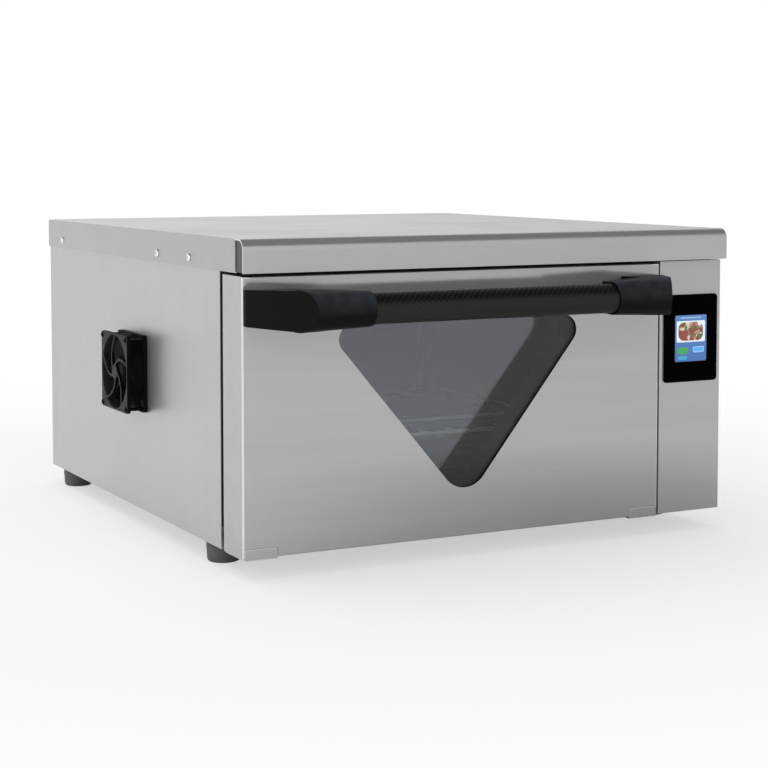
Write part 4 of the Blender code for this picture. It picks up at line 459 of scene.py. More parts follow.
# The fan's plastic comes three ways by where its faces look. The front, which looks left, gets a pale layer,
# partly dust and partly painted light. The sides get a darker copy as painted shade, and the bore and rotor a
# lighter copy as painted light.
moulded("fan_plastic", 0.0032, 0.45, 2200.0, 0.000006, warmth=-0.04, dust_and_sheen_amount=0.55, specular=0.10,
        dust_and_sheen_facing=(-1, 0, 0), dust_and_sheen_colour=(0.20, 0.205, 0.215, 1))
moulded("fan_side_painted_shade", 0.0042, 0.50, 2200.0, 0.000006, dust_and_sheen_amount=0.0, specular=0.05)
moulded("fan_inside_painted_light", 0.022, 0.50, 2200.0, 0.000006, dust_and_sheen_amount=0.0, specular=0.10)
moulded("window_band_black", 0.003, 0.55, 200.0, 0.0000005, dust_and_sheen_amount=0.0, specular=0.03)
moulded("rubber", 0.10, 0.62, 1300.0, 0.00002, warmth=-0.03, dust_and_sheen_amount=0.15)
moulded("silicone", 0.10, 0.55, 1000.0, 0.00001, dust_and_sheen_amount=0.05)
moulded("motor_casing", 0.05, 0.38, 1200.0, 0.00001)
print("with moulded finishes", len(finishes))

# %% [markdown]
# Mineral wool is a mat of matt yellow fibres, and the heater's sheath is dark, heat-stained steel. Both are
# inside, but they show in a cut-away view, so they get their own colours too.

# %% Mineral wool and heater sheath
wool = Finish("mineral_wool", roughness=0.95)
fibre = cloud(wool.tree, wool.place, 260, Detail=8, Roughness=0.75, Distortion=2.5)
wool.wire("Base Color", wool.mix(wool.ramp(fibre, 0.3, 0.7), (0.34, 0.27, 0.14, 1), (0.62, 0.53, 0.34, 1)))
wool.bump(fibre, 0.0012)
sheath = Finish("heater_sheath", metallic=0.85, roughness=0.45)
stain = sheath.effect(smudges, scale=18.0)["Mask"]
sheath.wire("Base Color", sheath.mix(stain, (0.10, 0.095, 0.09, 1), (0.20, 0.13, 0.085, 1)))
sheath.bump(sheath.effect(speckle, scale=1600.0)["Grain"], 0.00002)
print("finishes", len(finishes))

# %% [markdown]
# ## Ways of making a piece
# Three ways cover almost every piece. A plain CAD part is copied, its loose triangles are merged, and a small
# bevel rounds its edges, because a real sheet or moulding never has a knife edge and it is the edge that
# catches the light. A shape with fine curves is built again from its outline or its turned profile. What
# repeats, such as screws, blades and wires, comes from Geometry Nodes.

# %% Helpers that show and settle a piece
bodies = frame["record"]["behaviour"]["bodies"]
carried_by = {node: body for body, nodes in bodies.items() for node in nodes}
MERGE = 0.02 * MM
SIDES = (("left", -1), ("right", 1))


def show(name, mesh):
    made = bpy.data.objects.new(name, mesh)
    bpy.context.scene.collection.objects.link(made)
    return made


def settled(piece):
    """Turns a piece's modifiers into plain mesh."""
    graph = bpy.context.evaluated_depsgraph_get()
    piece.data = bpy.data.meshes.new_from_object(piece.evaluated_get(graph))
    piece.modifiers.clear()
    return piece


def shaded(piece, angle=32):
    """Smooth shading between sharp edges, with normals set by the larger faces, so flat faces stay flat."""
    if "custom_normal" in piece.data.attributes:
        piece.data.attributes.remove(piece.data.attributes["custom_normal"])
    piece.data.shade_smooth()
    piece.data.set_sharp_from_angle(angle=math.radians(angle))
    even = piece.modifiers.new("normals", "WEIGHTED_NORMAL")
    even.keep_sharp = True
    even.weight = 100
    return settled(piece)


print("nodes carried", len(carried_by), "by", sorted(bodies))


# %% Helpers for edges and walls
def rounded_edges(piece, width, segments=2, angle=30, finish=-1):
    """Rounds edges that turn by more than an angle. They can take another of the piece's finishes."""
    soft = piece.modifiers.new("edges", "BEVEL")
    soft.width = width * MM
    soft.segments = segments
    soft.limit_method = "ANGLE"
    soft.angle_limit = math.radians(angle)
    soft.miter_outer = "MITER_ARC"
    soft.material = finish
    settled(piece)
    return shaded(piece)


def walled(piece, thickness, offset=0, rim=0):
    """Gives a sheet its thickness, half on each side of it, or all on its inner side with offset -1."""
    wall = piece.modifiers.new("wall", "SOLIDIFY")
    wall.thickness = thickness * MM
    wall.offset = offset
    wall.use_even_offset = offset < 0
    wall.material_offset_rim = rim
    return settled(piece)


# %% Helpers that finish and place a piece
def coated(piece, *names):
    """Gives a piece its finishes. Its faces go by their numbers."""
    if piece.data.materials:
        piece.data.materials.clear()
    for name in names:
        piece.data.materials.append(finishes[name])
    return piece


def placed(piece, slot, finish, *nodes, body=None):
    """Gives a piece its finish, lets it ride on its CAD body and stand for its CAD nodes."""
    if finish is not None:
        coated(piece, finish)
    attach(piece, body or carried_by[nodes[0]])
    if nodes:
        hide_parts(*nodes)
    print(piece.name, len(piece.data.polygons), "faces, for", ", ".join(nodes) or "trim")
    return piece


# %% Helpers that make a mesh
AXES = {"X": (1, 2, 0), "Y": (0, 2, 1), "Z": (0, 1, 2)}


def kept(name, bm):
    """A bmesh made into an object."""
    mesh = bpy.data.meshes.new(name)
    bm.to_mesh(mesh)
    bm.free()
    return show(name, mesh)


def mesh_of(name, bm):
    """The same, with every face turned outwards."""
    bmesh.ops.recalc_face_normals(bm, faces=bm.faces)
    return kept(name, bm)


def copied(node):
    """A clean copy of a CAD node: loose triangles merged, flat regions joined."""
    bm = bmesh.new()
    bm.from_mesh(frame["nodes"][node].data)
    bmesh.ops.remove_doubles(bm, verts=bm.verts, dist=MERGE)
    bmesh.ops.dissolve_limit(bm, angle_limit=math.radians(0.5), verts=bm.verts, edges=bm.edges)
    return kept(node + "_shown", bm)


def spot(axis, across, up, along):
    """A point (X, Y, Z) from its two places across the named axis and its place along it."""
    point = [0, 0, 0]
    for number, value in zip(AXES[axis], (across, up, along)):
        point[number] = value
    return point


def faces_between(bm, rows, closed=False):
    """Faces from each row of points to the next. Closed rows go all the way round."""
    for first, second in zip(rows, rows[1:]):
        for index in range(len(first) if closed else len(first) - 1):
            after = (index + 1) % len(first)
            bm.faces.new((first[index], first[after], second[after], second[index]))


# %% Solids from an outline or a profile
def solid(name, outline, low, high, axis="Y"):
    """An outline made solid between two places on an axis. Its points are (Y, Z), (X, Z) or (X, Y)."""
    bm = bmesh.new()
    ends = [[bm.verts.new(at(*spot(axis, a, b, place))) for a, b in outline] for place in (low, high)]
    bm.faces.new(ends[0])
    bm.faces.new(ends[1][::-1])
    faces_between(bm, ends, closed=True)
    return mesh_of(name, bm)


def block(name, low, high):
    outline = ((low[0], low[2]), (high[0], low[2]), (high[0], high[2]), (low[0], high[2]))
    return solid(name, outline, low[1], high[1])


def turned(name, profile, centre, axis, sides=64, ring=False):
    """A turned shape about an axis. The profile's points are (radius, place along the axis)."""
    bm = bmesh.new()
    across, up = (centre[number] for number in AXES[axis][:2])
    rings = []
    for radius, along in profile:
        angles = [2 * math.pi * side / sides for side in range(sides if radius > 0 else 1)]
        places = [(across + radius * math.cos(angle), up + radius * math.sin(angle)) for angle in angles]
        rings.append([bm.verts.new(at(*spot(axis, a, b, along))) for a, b in places])
    for first, second in zip(rings, rings[1:] + (rings[:1] if ring else [])):
        for side in range(sides):
            corners = [first[side % len(first)], first[(side + 1) % len(first)],
                       second[(side + 1) % len(second)], second[side % len(second)]]
            unique = [v for i, v in enumerate(corners) if v not in corners[:i]]
            if len(unique) > 2:
                bm.faces.new(unique)
    return mesh_of(name, bm)


def rod(radius, low, high):
    """The profile of a plain round rod, or of a drill."""
    return [(0, low), (radius, low), (radius, high), (0, high)]


# %% Rounded outlines
def turns(count, whole=math.pi / 2):
    """The angles of so many equal steps of a turn, with both ends."""
    return [whole * step / count for step in range(count + 1)]


def rounded(corners, steps=12):
    """A polygon's points with each (point, radius) corner replaced by an arc."""
    points = []
    for index, (corner, radius) in enumerate(corners):
        here = Vector(corner)
        before = (Vector(corners[index - 1][0]) - here).normalized()
        after = (Vector(corners[(index + 1) % len(corners)][0]) - here).normalized()
        if radius == 0:
            points.append(tuple(here))
            continue
        half = before.angle(after) / 2
        middle = here + (before + after).normalized() * radius / math.sin(half)
        start = here + before * radius / math.tan(half) - middle
        end = here + after * radius / math.tan(half) - middle
        turn = start.angle(end)
        for part in turns(steps, turn):
            ray = (start * math.sin(turn - part) + end * math.sin(part)) / math.sin(turn)
            points.append(tuple(middle + ray))
    return points


def rectangle(low, high, radius=0, steps=8):
    corners = ((low[0], low[1]), (high[0], low[1]), (high[0], high[1]), (low[0], high[1]))
    return rounded([(corner, radius) for corner in corners], steps)


# %% Cuts and joints
def boolean(piece, operation, *others, materials="INDEX"):
    """Cuts others from a piece, or joins them to it, exactly. TRANSFER lets them keep their materials."""
    for other in others:
        change = piece.modifiers.new(operation, "BOOLEAN")
        change.operation = operation
        change.solver = "EXACT"
        change.material_mode = materials
        change.object = other
        settled(piece)
        bpy.data.objects.remove(other)
    return piece


def cut(piece, *others):
    return boolean(piece, "DIFFERENCE", *others)


def joined(piece, *others):
    return boolean(piece, "UNION", *others)


print("making helpers ready")

# %% [markdown]
# ## The top cover
# The cover is one folded sheet. Its front is rolled over a 12 mm radius into a lip, its sides turn down over
# a tight bend, and the lip's two ends stay open, so the sheet's bare edge shows there. A box with a bevel
# would give a closed end. Here one open surface is laid out point by point along the fold lines, and a
# Solidify modifier gives it the sheet's thickness. The cut edge and a thin bevel along it take a brighter
# finish: partly bare metal, partly a painted highlight.

# %% Cover
cover_low, cover_high = box_mm("top_cover")
SHEET = 1.8
NOSE = 12.0
BEND = 2.2
RELIEF = 21.7
SCREW_HOLE = 2.3
face_y, back_y = cover_low.y, cover_high.y
half, top_z = cover_high.x, cover_high.z


def nose_points(inset=0):
    """The rolled front as (Y, Z), at an inset from its outside."""
    reach = NOSE - inset
    return [(face_y + NOSE - reach * math.cos(turn), top_z - NOSE + reach * math.sin(turn))
            for turn in turns(14)]


def folded_down(first, second, places):
    """Faces from an edge of the top round its bend and down. Places gives the two (X, Y) at an inset."""
    edge = (first, second)
    bend = [(BEND - BEND * math.sin(turn), BEND - BEND * math.cos(turn)) for turn in turns(4)]
    for inset, down in bend[1:] + [(0, top_z - cover_low.z)]:
        lower = [bm.verts.new(at(x, y, top_z - down)) for x, y in places(inset)]
        bm.faces.new((edge[0], edge[1], lower[1], lower[0]))
        edge = lower


bm = bmesh.new()
inner = half - BEND
lip = [(face_y, cover_low.z)] + nose_points() + [(face_y + RELIEF, top_z)]
rows = [[bm.verts.new(at(x, y, z)) for x in (-half, -inner, inner, half)] for y, z in lip]
faces_between(bm, rows)
front_row = rows[-1]
back_row = [bm.verts.new(at(x, back_y - BEND, top_z)) for x in (-inner, inner)]
bm.faces.new((front_row[1], front_row[2], back_row[1], back_row[0]))
for side, first, second in ((-1, front_row[1], back_row[0]), (1, front_row[2], back_row[1])):
    folded_down(first, second, lambda inset: [
        (side * (half - inset), y) for y in (face_y + RELIEF, back_y - BEND)
    ])
folded_down(*back_row, lambda inset: [(x, back_y - inset) for x in (-inner, inner)])
cover = mesh_of("folded_cover", bm)
if max(cover.data.polygons, key=lambda face: face.area).normal.z < 0:
    cover.data.flip_normals()
# The cut edge takes the bright steel: partly bare metal, partly a painted highlight.
walled(coated(cover, "cover_steel", "bright_steel"), SHEET, -1, rim=1)
cover_screws = {
    side: ["cover_screw_%s_%s" % (side, row) for row in ("front", "middle", "back")] for side, sign in SIDES
}
for node in cover_screws["left"] + cover_screws["right"]:
    low, high = box_mm(node)
    cut(cover, turned("hole", rod(SCREW_HOLE, low.x - 3, high.x + 3), middle_of(node), "X", 20))
# Painted highlight: a thin bevel along the sharp edges takes the bright steel.
rim = cover.modifiers.new("rim", "BEVEL")
rim.width = 0.5 * MM
rim.segments = 2
rim.material = 1
rim.limit_method = "ANGLE"
rim.angle_limit = math.radians(60)
placed(shaded(settled(cover)), "brushed_steel", None, "top_cover")

# %% [markdown]
# Inside each open end of the lip a small tab closes the fold. It lies back from the edge, and its dark steel
# is painted shade.

# %% Lip tabs
TAB_SHEET = 1.2
TAB_REACH = 3.0
TAB_LIFT = 0.6
inset = SHEET + 0.1
tab_back, tab_bottom = face_y + RELIEF + TAB_REACH, cover_low.z + TAB_LIFT
tab_outline = [(face_y + inset, tab_bottom)] + nose_points(inset)
tab_outline += [(tab_back, top_z - inset), (tab_back, tab_bottom)]
for name, side in SIDES:
    near, far = sorted((side * (half - inset), side * (half - inset - TAB_SHEET)))
    tab = rounded_edges(solid("lip_tab_" + name, tab_outline, near, far, "X"), 0.3)
    placed(tab, "brushed_steel", "fold_steel_painted_shade", body=carried_by["top_cover"])

# %% [markdown]
# ## The door
# The door's outer skin is a tray folded from 1.5 mm sheet, with a rounded triangle cut out for the window and
# a notch at each lower corner for the hinge fitting. It starts as a box. The edges of its front are rounded,
# the back face is taken off, Solidify gives the wall, and exact Booleans make the openings.

# %% Door sizes
door_low, door_high = box_mm("door_outer_skin")
door_middle = (door_low.x + door_high.x) / 2
window_top = door_high.z - 55.0
WINDOW = (((-171.7, 0), 16), ((3.4, -205.5), 30.5), ((168.6, 0), 17.5))
door_ends = {-1: door_low.x, 1: door_high.x}


def window(margin):
    """The window's rounded triangle, grown by a margin, as (X, Z)."""
    corners = [Vector((door_middle + x, window_top + z)) for (x, z), radius in WINDOW]
    grown_corners = []
    for index, corner in enumerate(corners):
        before = (corners[index - 1] - corner).normalized()
        after = (corners[(index + 1) % 3] - corner).normalized()
        outward = -(before + after).normalized() * margin / math.sin(before.angle(after) / 2)
        grown_corners.append((tuple(corner + outward), WINDOW[index][1] + margin))
    return rounded(grown_corners, 20)


print("door", door_low, door_high, "window top", window_top)

# %% Door skin
DOOR_SHEET = 1.5
EDGE_ROUND = 1.7
PAINTED_CORNER_HIGHLIGHT = 12.0
box = block("door_box", (door_low.x, 0, door_low.z), door_high)
bm = bmesh.new()
bm.from_mesh(box.data)
bpy.data.objects.remove(box)
# The box is cut where the painted highlight at each top corner ends.
for x in (door_low.x + PAINTED_CORNER_HIGHLIGHT, door_high.x - PAINTED_CORNER_HIGHLIGHT):
    everything = bm.verts[:] + bm.edges[:] + bm.faces[:]
    bmesh.ops.bisect_plane(bm, geom=everything, plane_co=at(x, 0, 0), plane_no=(1, 0, 0))
front = [edge for edge in bm.edges if all(abs(v.co.y - zero.y) < MERGE for v in edge.verts)
         and len({face.normal.to_tuple(1) for face in edge.link_faces}) > 1]
folds = bmesh.ops.bevel(bm, geom=front, offset=EDGE_ROUND * MM, segments=4, profile=0.5, affect="EDGES")
# Painted highlight: the rounded folds at the door's sides, and a short stretch of the top fold at each
# corner, take the bright steel.
for face in folds["faces"]:
    middle = (face.calc_center_median() - zero) / MM
    from_side = min(middle.x - door_low.x, door_high.x - middle.x)
    at_painted_corner_highlight = middle.z > door_high.z - EDGE_ROUND and from_side < PAINTED_CORNER_HIGHLIGHT
    face.material_index = 1 if from_side < EDGE_ROUND or at_painted_corner_highlight else 0
bmesh.ops.delete(bm, geom=[face for face in bm.faces if face.normal.y > 0.9], context="FACES")
skin = mesh_of("door_skin", bm)
if max(skin.data.polygons, key=lambda face: face.area).normal.y > 0:
    skin.data.flip_normals()
walled(coated(skin, "front_steel", "bright_steel", "window_band_black"), DOOR_SHEET, -1)
cut(skin, solid("window_cut", window(0), -5, 6))
# Painted shade: the skin's cut edge round the window takes the near-black band finish.
for face in skin.data.polygons:
    middle = (face.center - zero) / MM
    in_window = 30 < middle.z < window_top + 2 and abs(middle.x - door_middle) < 180
    if in_window and abs(face.normal.y) < 0.1 and middle.y < 2:
        face.material_index = 2
print("door skin", len(skin.data.polygons), "faces")

# %% Notches for the hinges
NOTCH_OUTER, NOTCH_INNER, NOTCH_TOP = 1.6, 40.3, 10.3
ARM_MIDDLE, ARM_GAP, ARM_TOP = 43.5, 3.5, 26
for side, end in door_ends.items():
    low, high = sorted((end - side * NOTCH_INNER, end - side * NOTCH_OUTER))
    cut(skin, block("corner_cut", (low, -5, -5), (high, 60, NOTCH_TOP)))
    arm_x = end - side * ARM_MIDDLE
    cut(skin, block("arm_cut", (arm_x - ARM_GAP, 15, -5), (arm_x + ARM_GAP, 60, ARM_TOP)))
placed(shaded(skin), "brushed_steel", None, "door_outer_skin")

# %% Hinge fittings
FITTING_SIDE = 1.75
for name, side in SIDES:
    # Painted highlight: the fitting's rounded edges take the bright steel, its second finish.
    fitting = coated(copied("hinge_fitting_" + name), "front_steel", "bright_steel")
    low, high = sorted((door_ends[side] + side * 3, door_ends[side] - side * FITTING_SIDE))
    cut(fitting, block("side_cut", (low, -5, -5), (high, 60, 30)))
    placed(rounded_edges(fitting, 0.6, finish=1), "brushed_steel", None, "hinge_fitting_" + name)

# %% [markdown]
# ## Plain sheet-metal parts
# Many parts are already right in the CAD model and only need their edges rounded. One table names each part,
# the width of its rounding, its finish and its material slot, and one loop makes the fine copies.

# %% Plain parts
plain_parts = (
    ("left_side_panel", 0.3, "side_panel_steel", "side_steel"),
    ("right_side_panel", 0.3, "side_panel_steel", "side_steel"),
    ("base_pan", 0.3, "galvanised_steel", "galvanised_steel"),
    # The front frame's dark finish is painted shade in the gaps round the door.
    ("front_frame", 0.3, "frame_enamel", "dark_enamel"),
    ("back_panel", 0.3, "galvanised_steel", "galvanised_steel"),
    ("fan_baffle", 0.3, "dark_enamel", "bright_steel"),
    ("control_column", 0.8, "front_steel", "brushed_steel"),
    ("hinge_arm_left", 0.5, "galvanised_steel", "galvanised_steel"),
    ("hinge_arm_right", 0.5, "galvanised_steel", "galvanised_steel"),
    ("hinge_pin_left", 0.4, "bright_steel", "bright_steel"),
    ("hinge_pin_right", 0.4, "bright_steel", "bright_steel"),
    ("cavity_liner", 0.3, "dark_enamel", "bright_steel"),
    ("rack_rail_left", 0.8, "bright_steel", "bright_steel"),
    ("rack_rail_right", 0.8, "bright_steel", "bright_steel"),
    ("outer_glass", 0.4, "smoked_glass", "smoked_glass"),
    ("inner_glass", 0.4, "coated_glass", "smoked_glass"),
    ("cavity_insulation", 2.0, "mineral_wool", "mineral_wool"),
    ("convection_motor", 0.8, "motor_casing", "motor_casing"),
    ("limit_thermostat", 0.6, "motor_casing", "motor_casing"),
    ("temperature_probe", 0.3, "bright_steel", "bright_steel"),
)
for node, width, finish, slot in plain_parts:
    placed(rounded_edges(copied(node), width), slot, finish, node)

# %% [markdown]
# The frame between the panes is a deep dark band that follows the window's outline, so it is made from that
# outline, with finer corners than the CAD model has, and hollowed by a smaller one. The door's lining gets an
# opening of the same shape, or its bright edge would show above the glass.

# %% Window frame
BAND_OUTER, BAND_INNER, LINING_MARGIN = 4.5, 3.0, 6.0
frame_low, frame_high = box_mm("window_frame")
band = solid("window_band", window(BAND_OUTER), frame_low.y, frame_high.y)
cut(band, solid("window_band_inside", window(BAND_INNER), frame_low.y - 5, frame_high.y + 5))
placed(shaded(band), "dark_enamel", "window_band_black", "window_frame")
lining = cut(copied("door_inner_skin"), solid("lining_window", window(LINING_MARGIN), 30, 60))
placed(rounded_edges(lining, 0.4), "bright_steel", "bright_steel", "door_inner_skin")

# %% [markdown]
# ## The handle
# A tube of woven carbon sits between two moulded ends. Each end is a foot on the door joined to a tapering
# round collar, and one slanting cut takes off the outer side of both, which leaves a flat face with a round
# tongue at its tip. It is built like that: an outline, a cone, a joint and a cut, with far finer steps than
# the CAD model. A last rounding gives it the soft edge of a moulded part.

# %% Handle sizes
tube_low, tube_high = box_mm("handle_tube")
handle_z = (tube_low.z + tube_high.z) / 2
TUBE_RADIUS = 16.3
TUBE_WALL = 2.0
STANDOFF = 68.0
END_LENGTH = 112.5
END_SLANT = 45.0
END_INSET = 1.8
FOOT_LENGTH = 52.0
FOOT_HALF = 18.8
KNEE_RADIUS = 21.3
COLLAR_RADIUS = 18.5
SEAT_DEPTH = 36.3
STRAIGHT = 10.0
handle_axis = (0, -STANDOFF, handle_z)
print("handle", tube_high.x - tube_low.x, "mm of tube at", handle_z)


# %% Handle ends
def handle_end(side):
    """The left (-1) or right (1) end of the handle. Its own X runs from the door's edge to the tube."""
    edge = door_ends[side] - side * END_INSET

    def along(outline, up=0):
        return [(edge - side * x, y + up) for x, y in outline]

    behind = -STANDOFF + COLLAR_RADIUS
    tall = KNEE_RADIUS + 4
    foot = rounded([
        ((0, -0.3), 0), ((FOOT_LENGTH, -0.3), 0), ((FOOT_LENGTH, behind), 16), ((END_LENGTH, behind), 0),
        ((END_LENGTH, -STANDOFF), 0), ((0, -STANDOFF), 0),
    ], 16)
    made = solid("handle_end", along(foot), handle_z - tall, handle_z + tall, "Z")
    flank = [(4, FOOT_HALF), (-STANDOFF, KNEE_RADIUS)]
    section = [(y, handle_z - z) for y, z in flank] + [(y, handle_z + z) for y, z in flank[::-1]]
    boolean(made, "INTERSECT", solid("wedge", section, edge - 130, edge + 130, "X"))
    waist = [(0, tall), (END_SLANT, tall), (END_SLANT + 8, KNEE_RADIUS), (END_LENGTH, COLLAR_RADIUS - 0.6)]
    waist = [(x, -z) for x, z in waist] + waist[::-1]
    boolean(made, "INTERSECT", solid("waist", along(waist, handle_z), -STANDOFF - 60, 10))
    taper = (KNEE_RADIUS - COLLAR_RADIUS) / (END_LENGTH - END_SLANT)
    tip = edge - side * END_LENGTH
    cone = [(0, edge), (COLLAR_RADIUS + taper * END_LENGTH, edge), (COLLAR_RADIUS, tip), (0, tip)]
    joined(made, turned("collar", cone, handle_axis, "X", 96))
    rise = END_SLANT / (STANDOFF + KNEE_RADIUS - STRAIGHT)
    reach = 140
    waste = [(rise * (reach - STRAIGHT), -reach), (-150, -reach), (-150, 4), (-rise * (STRAIGHT + 4), 4)]
    cut(made, solid("slant", along(waste), handle_z - 40, handle_z + 40, "Z"))
    rounded_edges(made, 1.7, 4, 35)
    seat = rod(TUBE_RADIUS + 0.3, tip - side * 4, tip + side * SEAT_DEPTH)
    cut(made, turned("seat", seat, handle_axis, "X", 96))
    return shaded(made)


for name, side in SIDES:
    end = handle_end(side)
    end.name = "handle_grip_end_" + name
    placed(end, "black_plastic", "black_plastic", "handle_end_" + name)

# %% [markdown]
# The tube's cloth is a plain weave: each thread passes over one and under one, so light and dark fields
# alternate like bricks. The pattern has to follow the surface, so the tube gets a UV map when it is turned,
# in metres along and round it, and the material works the weave out from that map with a little arithmetic.

# %% Carbon weave finish
THREAD = 0.0033
THREAD_HEIGHT = 0.00016
carbon = Finish("carbon_tube", roughness=0.34, specular_ior_level=0.13)
lay = add(carbon.tree, "ShaderNodeUVMap", uv_map="along_round").outputs[0]
threads = add(carbon.tree, "ShaderNodeVectorMath", {0: lay, "Scale": 1 / THREAD}, operation="SCALE")
along, around = split(carbon.tree, threads.outputs[0])[:2]
fields = [carbon.sum(place, 0.0, "FLOOR") for place in (along, around)]
over = carbon.sum(carbon.sum(carbon.sum(*fields), 2.0, "FLOORED_MODULO"), 0.5, "GREATER_THAN")
swells = [carbon.sum(carbon.sum(place, math.pi, "MULTIPLY"), 0.0, "SINE") for place in (along, around)]
round_x, round_y = (carbon.sum(swell, 0.0, "ABSOLUTE") for swell in swells)
thread_height = add(carbon.tree, "ShaderNodeMix", {0: over, 2: round_x, 3: round_y}).outputs[0]
# Painted light: the cloth's colour follows the way it faces. Faces that look up are painted darker, as shade,
# with painted glints on the threads that lie over; faces that look forward are painted lighter.
above = carbon.ramp(split(carbon.tree, carbon.normal())["Z"], 0.25, 0.55)
front_cloth_painted_light = carbon.mix(over, (0.018, 0.0195, 0.0175, 1), (0.0205, 0.022, 0.020, 1))
top_cloth_painted_shade_and_glint = carbon.mix(over, (0.0003, 0.0003, 0.0003, 1), (0.009, 0.0098, 0.0094, 1))
carbon.wire("Base Color", carbon.mix(above, front_cloth_painted_light, top_cloth_painted_shade_and_glint))
carbon.wire("Roughness", carbon.ramp(over, 0, 1, 0.42, 0.30))
carbon.bump(carbon.sum(thread_height, carbon.ramp(above, 0, 1, 0.15, 1.0), "MULTIPLY"), THREAD_HEIGHT)
print("threads", THREAD, "m wide")

# %% Handle tube
wall_profile = [(radius, x) for radius, ends in (
    (TUBE_RADIUS, (tube_low.x, tube_high.x)), (TUBE_RADIUS - TUBE_WALL, (tube_high.x, tube_low.x)),
) for x in ends]
tube = turned("woven_tube", wall_profile, handle_axis, "X", 96, ring=True)
unrolled = tube.data.uv_layers.new(name="along_round")
for face in tube.data.polygons:
    points = [tube.data.vertices[index].co for index in face.vertices]
    rolled = [point - at(*handle_axis) for point in points]
    angles = [math.atan2(point.z, point.y) % (2 * math.pi) for point in rolled]
    wraps = max(angles) - min(angles) > math.pi
    for index, point, angle in zip(face.loop_indices, points, angles):
        angle += 2 * math.pi if wraps and angle < math.pi else 0
        unrolled.data[index].uv = (point.x, angle * TUBE_RADIUS * MM)
placed(shaded(tube), "carbon_tube", "carbon_tube", "handle_tube")

# %% [markdown]
# ## The display
# The bezel is a 2 mm slab of black glass with polished, rounded corners, and the screen stands in its window.
# What the screen shows is generic: a blue page, a pale picture field with soft food-like shades, and two
# buttons. Each is a rounded tile of the material, worked out from its distance to the tile's middle, so their
# edges stay sharp however close the camera comes.

# %% Bezel
bezel_low, bezel_high = box_mm("display_bezel")
SCREEN_WIDE, SCREEN_TALL = 46.4, 55.6
BEZEL_CORNER = 4.5
screen_x = (bezel_low.x + bezel_high.x) / 2
screen_top = bezel_high.z - 24.4
glass_low, glass_high = (bezel_low.x + 1.2, bezel_low.z), (bezel_high.x - 1.2, bezel_high.z)
glass_outline = rectangle(glass_low, glass_high, BEZEL_CORNER, 12)
bezel = solid("bezel_glass", glass_outline, bezel_low.y, bezel_high.y)
hole_low = (screen_x - SCREEN_WIDE / 2 - 0.3, screen_top - SCREEN_TALL - 0.3)
hole_high = (screen_x + SCREEN_WIDE / 2 + 0.3, screen_top + 0.3)
cut(bezel, solid("bezel_window", rectangle(hole_low, hole_high), -8, 8))
placed(rounded_edges(bezel, 0.3, 2, 40), "black_glass", "black_glass", "display_bezel")

# %% Screen
lit = Finish("screen", roughness=0.12, coat_weight=0.6, coat_roughness=0.03, emission_strength=0.55)
page_corner = at(screen_x - SCREEN_WIDE / 2, 0, screen_top - SCREEN_TALL)
page = split(lit.tree, lit.place)
page_x, page_z = (lit.sum(page[axis], getattr(page_corner, axis.lower()), "SUBTRACT") for axis in "XZ")


def tile(low, high, radius):
    """1 in a round-cornered rectangle of the page, in millimetres from its lower left corner, else 0."""
    middle = [(a + b) / 2 * MM for a, b in zip(low, high)] + [0]
    reach = [((b - a) / 2 - radius) * MM for a, b in zip(low, high)] + [1]
    nothing = (0, 0, 0)
    point = add(lit.tree, "ShaderNodeCombineXYZ", {"X": page_x, "Y": page_z}).outputs[0]
    for step, other in (
        ("SUBTRACT", middle), ("ABSOLUTE", nothing), ("SUBTRACT", reach), ("MAXIMUM", nothing),
    ):
        point = vectors(lit.tree, step, point, other)[0]
    return lit.sum(vectors(lit.tree, "LENGTH", point)["Value"], radius * MM, "LESS_THAN")


glow_up = lit.ramp(page_z, 0, SCREEN_TALL * MM)
picture = lit.mix(glow_up, (0.03, 0.11, 0.33, 1), (0.06, 0.17, 0.40, 1))
field = cloud(lit.tree, lit.place, 70, Detail=2, Distortion=0.8)
warm = lit.mix(lit.ramp(field, 0.36, 0.52), (0.66, 0.62, 0.50, 1), (0.19, 0.035, 0.016, 1))
leaves = lit.ramp(cloud(lit.tree, lit.place, 160, Detail=2), 0.55, 0.60)
warm = lit.mix(leaves, warm, (0.06, 0.12, 0.02, 1))
for low, high, radius, colour in (
    ((2.5, 23.3), (43.9, 48.5), 1.5, (0.62, 0.68, 0.74, 1)),
    ((5, 25), (41, 47), 8, warm),
    ((3.5, 9.3), (19.5, 17), 3.3, (0.02, 0.30, 0.06, 1)),
    ((26.5, 10.6), (42.5, 17.6), 1.5, (0.30, 0.50, 0.74, 1)),
    ((27.3, 11.4), (41.7, 16.8), 1.2, (0.08, 0.32, 0.66, 1)),
    ((4.5, 2.6), (18, 6.8), 1.5, (0.03, 0.27, 0.50, 1)),
    ((8, 51.5), (38, 53), 0.6, (0.22, 0.40, 0.52, 1)),
):
    picture = lit.mix(tile(low, high, radius), picture, colour)
border = lit.sum(1.0, tile((0.4, 0.4), (SCREEN_WIDE - 0.4, SCREEN_TALL - 0.4), 2.5), "SUBTRACT")
picture = lit.mix(border, picture, (0.002, 0.003, 0.006, 1))
lit.wire("Base Color", picture)
lit.wire("Emission Color", picture)
placed(rounded_edges(copied("display_module"), 0.2), "screen", "screen", "display_module")

# %% [markdown]
# ## What repeats: Geometry Nodes
# A ring of blades, a row of wires and a set of screws are each one shape, placed again and again by a rule.
# Geometry Nodes say that rule once. Each tree below takes the shape, its count and its spacing as named
# inputs, makes real geometry of the copies and sets their material.


